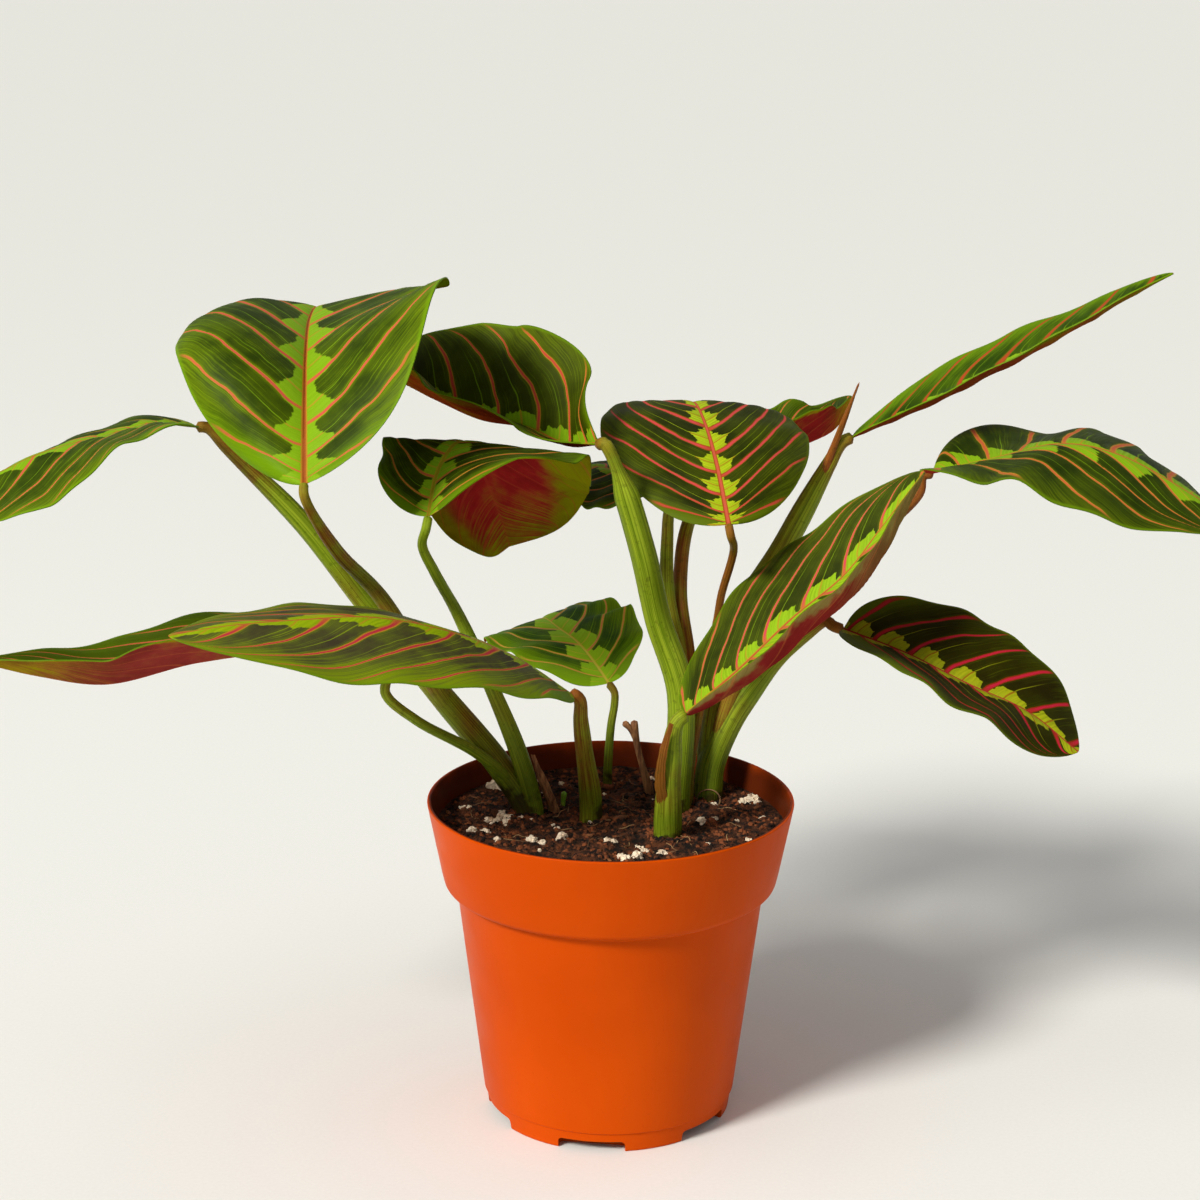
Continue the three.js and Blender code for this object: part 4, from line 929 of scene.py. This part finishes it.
def upper_finish(name, look):
    """The upper side: lime lobes on a dark field, with red veins and fine streaks."""
    leaf = Finish(name, Specular_IOR_Level=0.06)
    lime, field, edging, fresh, vein, border, rib = (
        tint(*look[part]) for part in ("lime", "field", "edge", "fresh", "vein", "border", "rib"))
    across, s = leaf.pair("UVMap")
    cell, out = leaf.pair("veins")
    edge = leaf.sum("ABSOLUTE", leaf.sum("MULTIPLY_ADD", across, 2, -1))
    spot = leaf.place()
    cell = leaf.plus(cell, leaf.ramp(leaf.noise(spot, 60, 2), 0.2, 0.8, -0.07, 0.07))
    near_vein = leaf.sum("PINGPONG", cell, 0.5)
    fine = leaf.noise(leaf.point(leaf.times(cell, 16), leaf.times(out, 2.5)), 1, 4, 0.6)
    lines = leaf.noise(leaf.point(leaf.times(cell, 30), out), 1, 2, 0.5)
    wide = leaf.noise(spot, 70, 3, 0.6)
    # The field: dark by the lobes, paler toward the edge and the veins, and fresh at the base.
    start, stop = look["dark"]
    darkness = leaf.ramp(leaf.plus(edge, leaf.spread(fine, -0.2, 0.2)), start + 0.25, stop)
    colour = leaf.blend(leaf.spread(wide, 0, 0.35), field, edging)
    colour = leaf.blend(darkness, edging, colour)
    colour = leaf.blend(leaf.ramp(near_vein, 0.16, 0.06, 0, 0.45), colour, edging)
    streak = leaf.times(leaf.ramp(lines, 0.55, 0.68), leaf.ramp(wide, 0.35, 0.65, 0.05, 0.5))
    colour = leaf.blend(streak, colour, tint(*[1.3 * part for part in look["edge"]]))
    colour = leaf.blend(leaf.ramp(cell, 1.6, 0.6, 0, 0.85), colour, fresh)
    colour = leaf.blend(leaf.ramp(edge, 0.955, 0.985, 0, 0.6), colour, fresh)
    lobe = lobes(leaf, look, cell, out, s)
    colour = leaf.blend(lobe, colour, leaf.blend(leaf.spread(fine, 0, 0.5), lime, fresh))
    # Between two veins runs a thin pale one, darker across the lobes.
    between = leaf.sum("ABSOLUTE", leaf.sum("SUBTRACT", leaf.sum("FRACT", cell), 0.4))
    pale_line = leaf.times(leaf.ramp(between, 0.018, 0.006), leaf.ramp(edge, 0.75, 0.3, 0, 0.5))
    colour = leaf.blend(pale_line, colour, lime)
    thin = leaf.times(leaf.ramp(between, 0.03, 0.012), leaf.times(lobe, 0.7))
    colour = leaf.blend(thin, colour, border)
    # The veins: a red core between orange borders, more orange near midrib and base.
    width = leaf.ramp(edge, 0, 1, *look["width"])
    width = leaf.times(width, leaf.spread(leaf.noise(spot, 90, 2), 0.85, 1.2))
    side = leaf.ramp(near_vein, leaf.times(width, 1.7), leaf.times(width, 1.2))
    core = leaf.ramp(near_vein, leaf.times(width, 1.1), leaf.times(width, 0.5))
    fading = leaf.ramp(edge, 1, 0.86)
    colour = leaf.blend(leaf.times(side, fading), colour, border)
    orange = leaf.sum("MAXIMUM", leaf.ramp(out, 0.12, 0.02), leaf.ramp(cell, 3.2, 1.4, 0, 0.75))
    halfway = tint(*[0.5 * (a + b) for a, b in zip(look["vein"], look["border"])])
    colour = leaf.blend(leaf.times(core, fading), colour, leaf.blend(orange, vein, halfway))
    # The midrib likewise, slimmer toward the tip.
    slim = leaf.ramp(s, 0, 1, 0.028, 0.01)
    colour = leaf.blend(leaf.ramp(out, slim, leaf.times(slim, 0.75)), colour, border)
    core = leaf.ramp(out, leaf.times(slim, 0.65), leaf.times(slim, 0.35))
    leaf.paint(leaf.blend(core, colour, rib), leaf.spread(fine, 0.45, 0.58))
    leaf.relief(leaf.plus(fine, leaf.times(side, -0.8)), 0.12, 0.7)
    return leaf


def lower_finish(name, look):
    """The underside: maroon, greener toward tip and edge, with paler veins and fine lines."""
    leaf = Finish(name, Specular_IOR_Level=0.0)
    below, tip, pale = (tint(*look[part]) for part in ("below", "below_tip", "below_vein"))
    across, s = leaf.pair("UVMap")
    cell, out = leaf.pair("veins")
    edge = leaf.sum("ABSOLUTE", leaf.sum("MULTIPLY_ADD", across, 2, -1))
    fine = leaf.noise(leaf.point(leaf.times(cell, 22), leaf.times(out, 1.5)), 1, 4, 0.6)
    wide = leaf.noise(leaf.place(), 60, 4, 0.6)
    level = leaf.plus(s, leaf.spread(fine, -0.12, 0.12))
    green = leaf.plus(leaf.ramp(level, *look["maroon"]), leaf.ramp(wide, 0.5, 0.8, 0, 0.5))
    margin = leaf.plus(edge, leaf.spread(wide, -0.1, 0.1))
    green = leaf.sum("MAXIMUM", green, leaf.ramp(margin, *look["green_edge"], 0, 0.9))
    colour = leaf.blend(green, below, tip)
    colour = leaf.blend(leaf.ramp(fine, 0.35, 0.6, 0.22, 0), colour, tint(104, 34, 14))
    colour = leaf.blend(leaf.ramp(wide, 0.35, 0.6, 0.4, 0), colour, tint(92, 26, 22))
    vein = leaf.ramp(leaf.sum("PINGPONG", cell, 0.5), 0.05, 0.02, 0, 0.35)
    colour = leaf.blend(vein, colour, pale)
    colour = leaf.blend(leaf.ramp(out, 0.02, 0.01, 0, 0.25), colour, pale)
    leaf.paint(colour, leaf.spread(fine, 0.5, 0.62))
    leaf.relief(leaf.plus(fine, vein), 0.15, 0.8)
    return leaf


for name, leaf in leaves.items():
    look = looks[name]
    blade, shell = blade_piece(name.replace("leaf", "blade"), leaf, look)
    blade.data.materials.append(upper_finish(name + "_above", look).material)
    blade.data.materials.append(lower_finish(name + "_below", look).material)
    harden(blade, shell)
    smooth(blade, 60)
    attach(blade, "root")
    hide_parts(name)

# ==== Dry remains and sprout ====
# What is left of older leaves: a papery bract by the left stems, and a cut stub with a short fork,
# both brown and brittle. Beside them a seedling's first green shoot comes out of the soil.

BRACT_LINE = [(-16, 10, 78), (-17, 9.5, 90), (-20, 8, 99), (-23.5, 6.5, 109)]
BRACT_WIDTHS = [3.4, 3.8, 3.4, 1.4]
STUB_LINE = [(14, 27, 76), (12, 27, 90), (8, 27, 106), (7, 26, 114)]
FORK_LINE = [(7.8, 26.6, 107), (6, 26.2, 111), (3.6, 26, 113.4)]
SHOOT_LINE = [(-14.6, 14, 80), (-14.6, 14, 90), (-14.2, 13.8, 95)]

straw = Finish("dry_leaf_base", Specular_IOR_Level=0.3, Roughness=0.8)
spot = straw.place()
grain = straw.add("ShaderNodeMapping", {"Vector": spot, "Scale": (1, 1, 0.12)})
grain = straw.noise(grain, 900, 4, 0.6)
colour = straw.blend(straw.spread(grain), tint(98, 58, 34), tint(186, 132, 84))
stain = straw.ramp(straw.noise(spot, 120, 3), 0.5, 0.7, 0, 0.6)
straw.paint(straw.blend(stain, colour, tint(70, 36, 26)))
straw.relief(grain, 0.3)

bract = dry_scale("bract_paper", BRACT_LINE, (0.8, -0.5, 0.2), BRACT_WIDTHS)
smooth(bract, 60)
straw.coat_piece(bract)
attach(bract, "root")
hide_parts("dry_bract")

stub = gather([
    tube("stub", STUB_LINE, [1.7, 1.5, 1, 1.2], 16, 0.8, 0.04),
    tube("fork", FORK_LINE, [0.8, 0.9, 1.1], 12, 0.6, 0.04),
], "stub_dry")
smooth(stub, 60)
straw.coat_piece(stub)
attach(stub, "root")
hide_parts("dry_stub")

shoot = tube("shoot", SHOOT_LINE, [0.6, 0.5, 0.9], 12, 0.6)
smooth(shoot, 60)
young = Finish("young_green", Specular_IOR_Level=0.4, Roughness=0.5)
tone = young.ramp(young.noise(young.place(), 400, 3), 0.35, 0.65)
young.paint(young.blend(tone, tint(120, 170, 40), tint(178, 208, 80)))
young.coat_piece(shoot)
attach(shoot, "root")
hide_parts("sprout")

# ==== Studio ====
# A wide pale floor, soft light from the upper left and the front, and a camera at the
# photograph's angle.

CAMERA_DISTANCE = 0.8
CAMERA_RISE = math.radians(22.77)
CAMERA_AIM_HEIGHT = 0.048
CAMERA_PITCH = math.radians(15.06)
CAMERA_YAW = math.radians(0.275)
CAMERA_ROLL = math.radians(0.33)
CAMERA_FOCUS = 2602 / 1200

bpy.ops.mesh.primitive_plane_add(size=120)
floor = bpy.context.object
floor.name = "floor"
paper = Finish("floor_paper", Roughness=0.9, Specular_IOR_Level=0.2)
tone = paper.spread(paper.noise(paper.place(), 900, 2))
paper.paint(paper.blend(tone, (0.79, 0.8, 0.78, 1), (0.81, 0.82, 0.8, 1)))
paper.coat_piece(floor)

world = bpy.data.worlds.new("studio")
bpy.context.scene.world = world
world.use_nodes = True
sky = world.node_tree.nodes["Background"]
sky.inputs["Color"].default_value = (1.0, 0.99, 0.96, 1)
sky.inputs["Strength"].default_value = 0.34


def lamp(name, kind, spot, strength, colour, turn):
    """A lamp at spot, turned to shine back along turn."""
    bpy.ops.object.light_add(type=kind, location=spot)
    light = bpy.context.object
    light.name = name
    light.data.energy = strength
    light.data.color = colour
    light.rotation_euler = Vector(turn).to_track_quat("Z", "Y").to_euler()
    return light.data


FROM_LEFT, FROM_RIGHT, OVERHEAD = (-0.9, -0.9, 1.0), (0.9, 0.7, 0.8), (-0.5, -0.3, 1.3)
lamp("key", "SUN", FROM_LEFT, 3.35, (1, 0.97, 0.9), FROM_LEFT).angle = math.radians(14)
lamp("rim", "SUN", FROM_RIGHT, 0.1, (1, 1, 1), FROM_RIGHT).angle = math.radians(20)
gloss_way = Vector(OVERHEAD) - Vector((0, 0, 0.14))
lamp("gloss", "AREA", OVERHEAD, 2.5, (1, 1, 1), gloss_way).size = 0.8

camera = bpy.data.objects.new("camera", bpy.data.cameras.new("camera"))
bpy.context.collection.objects.link(camera)
bpy.context.scene.camera = camera
camera.data.sensor_width = 36
camera.data.lens = 36 * CAMERA_FOCUS
camera.data.clip_end = 200
back, rise = CAMERA_DISTANCE * math.cos(CAMERA_RISE), CAMERA_DISTANCE * math.sin(CAMERA_RISE)
tilt = Matrix.Rotation(math.radians(90) - CAMERA_PITCH, 4, "X")
spin = Matrix.Rotation(CAMERA_YAW, 4, "Z") @ tilt @ Matrix.Rotation(CAMERA_ROLL, 4, "Z")
camera.matrix_world = Matrix.Translation((0, -back, CAMERA_AIM_HEIGHT + rise)) @ spin
bpy.context.scene.view_settings.view_transform = "Standard"

bpy.context.view_layer.update()
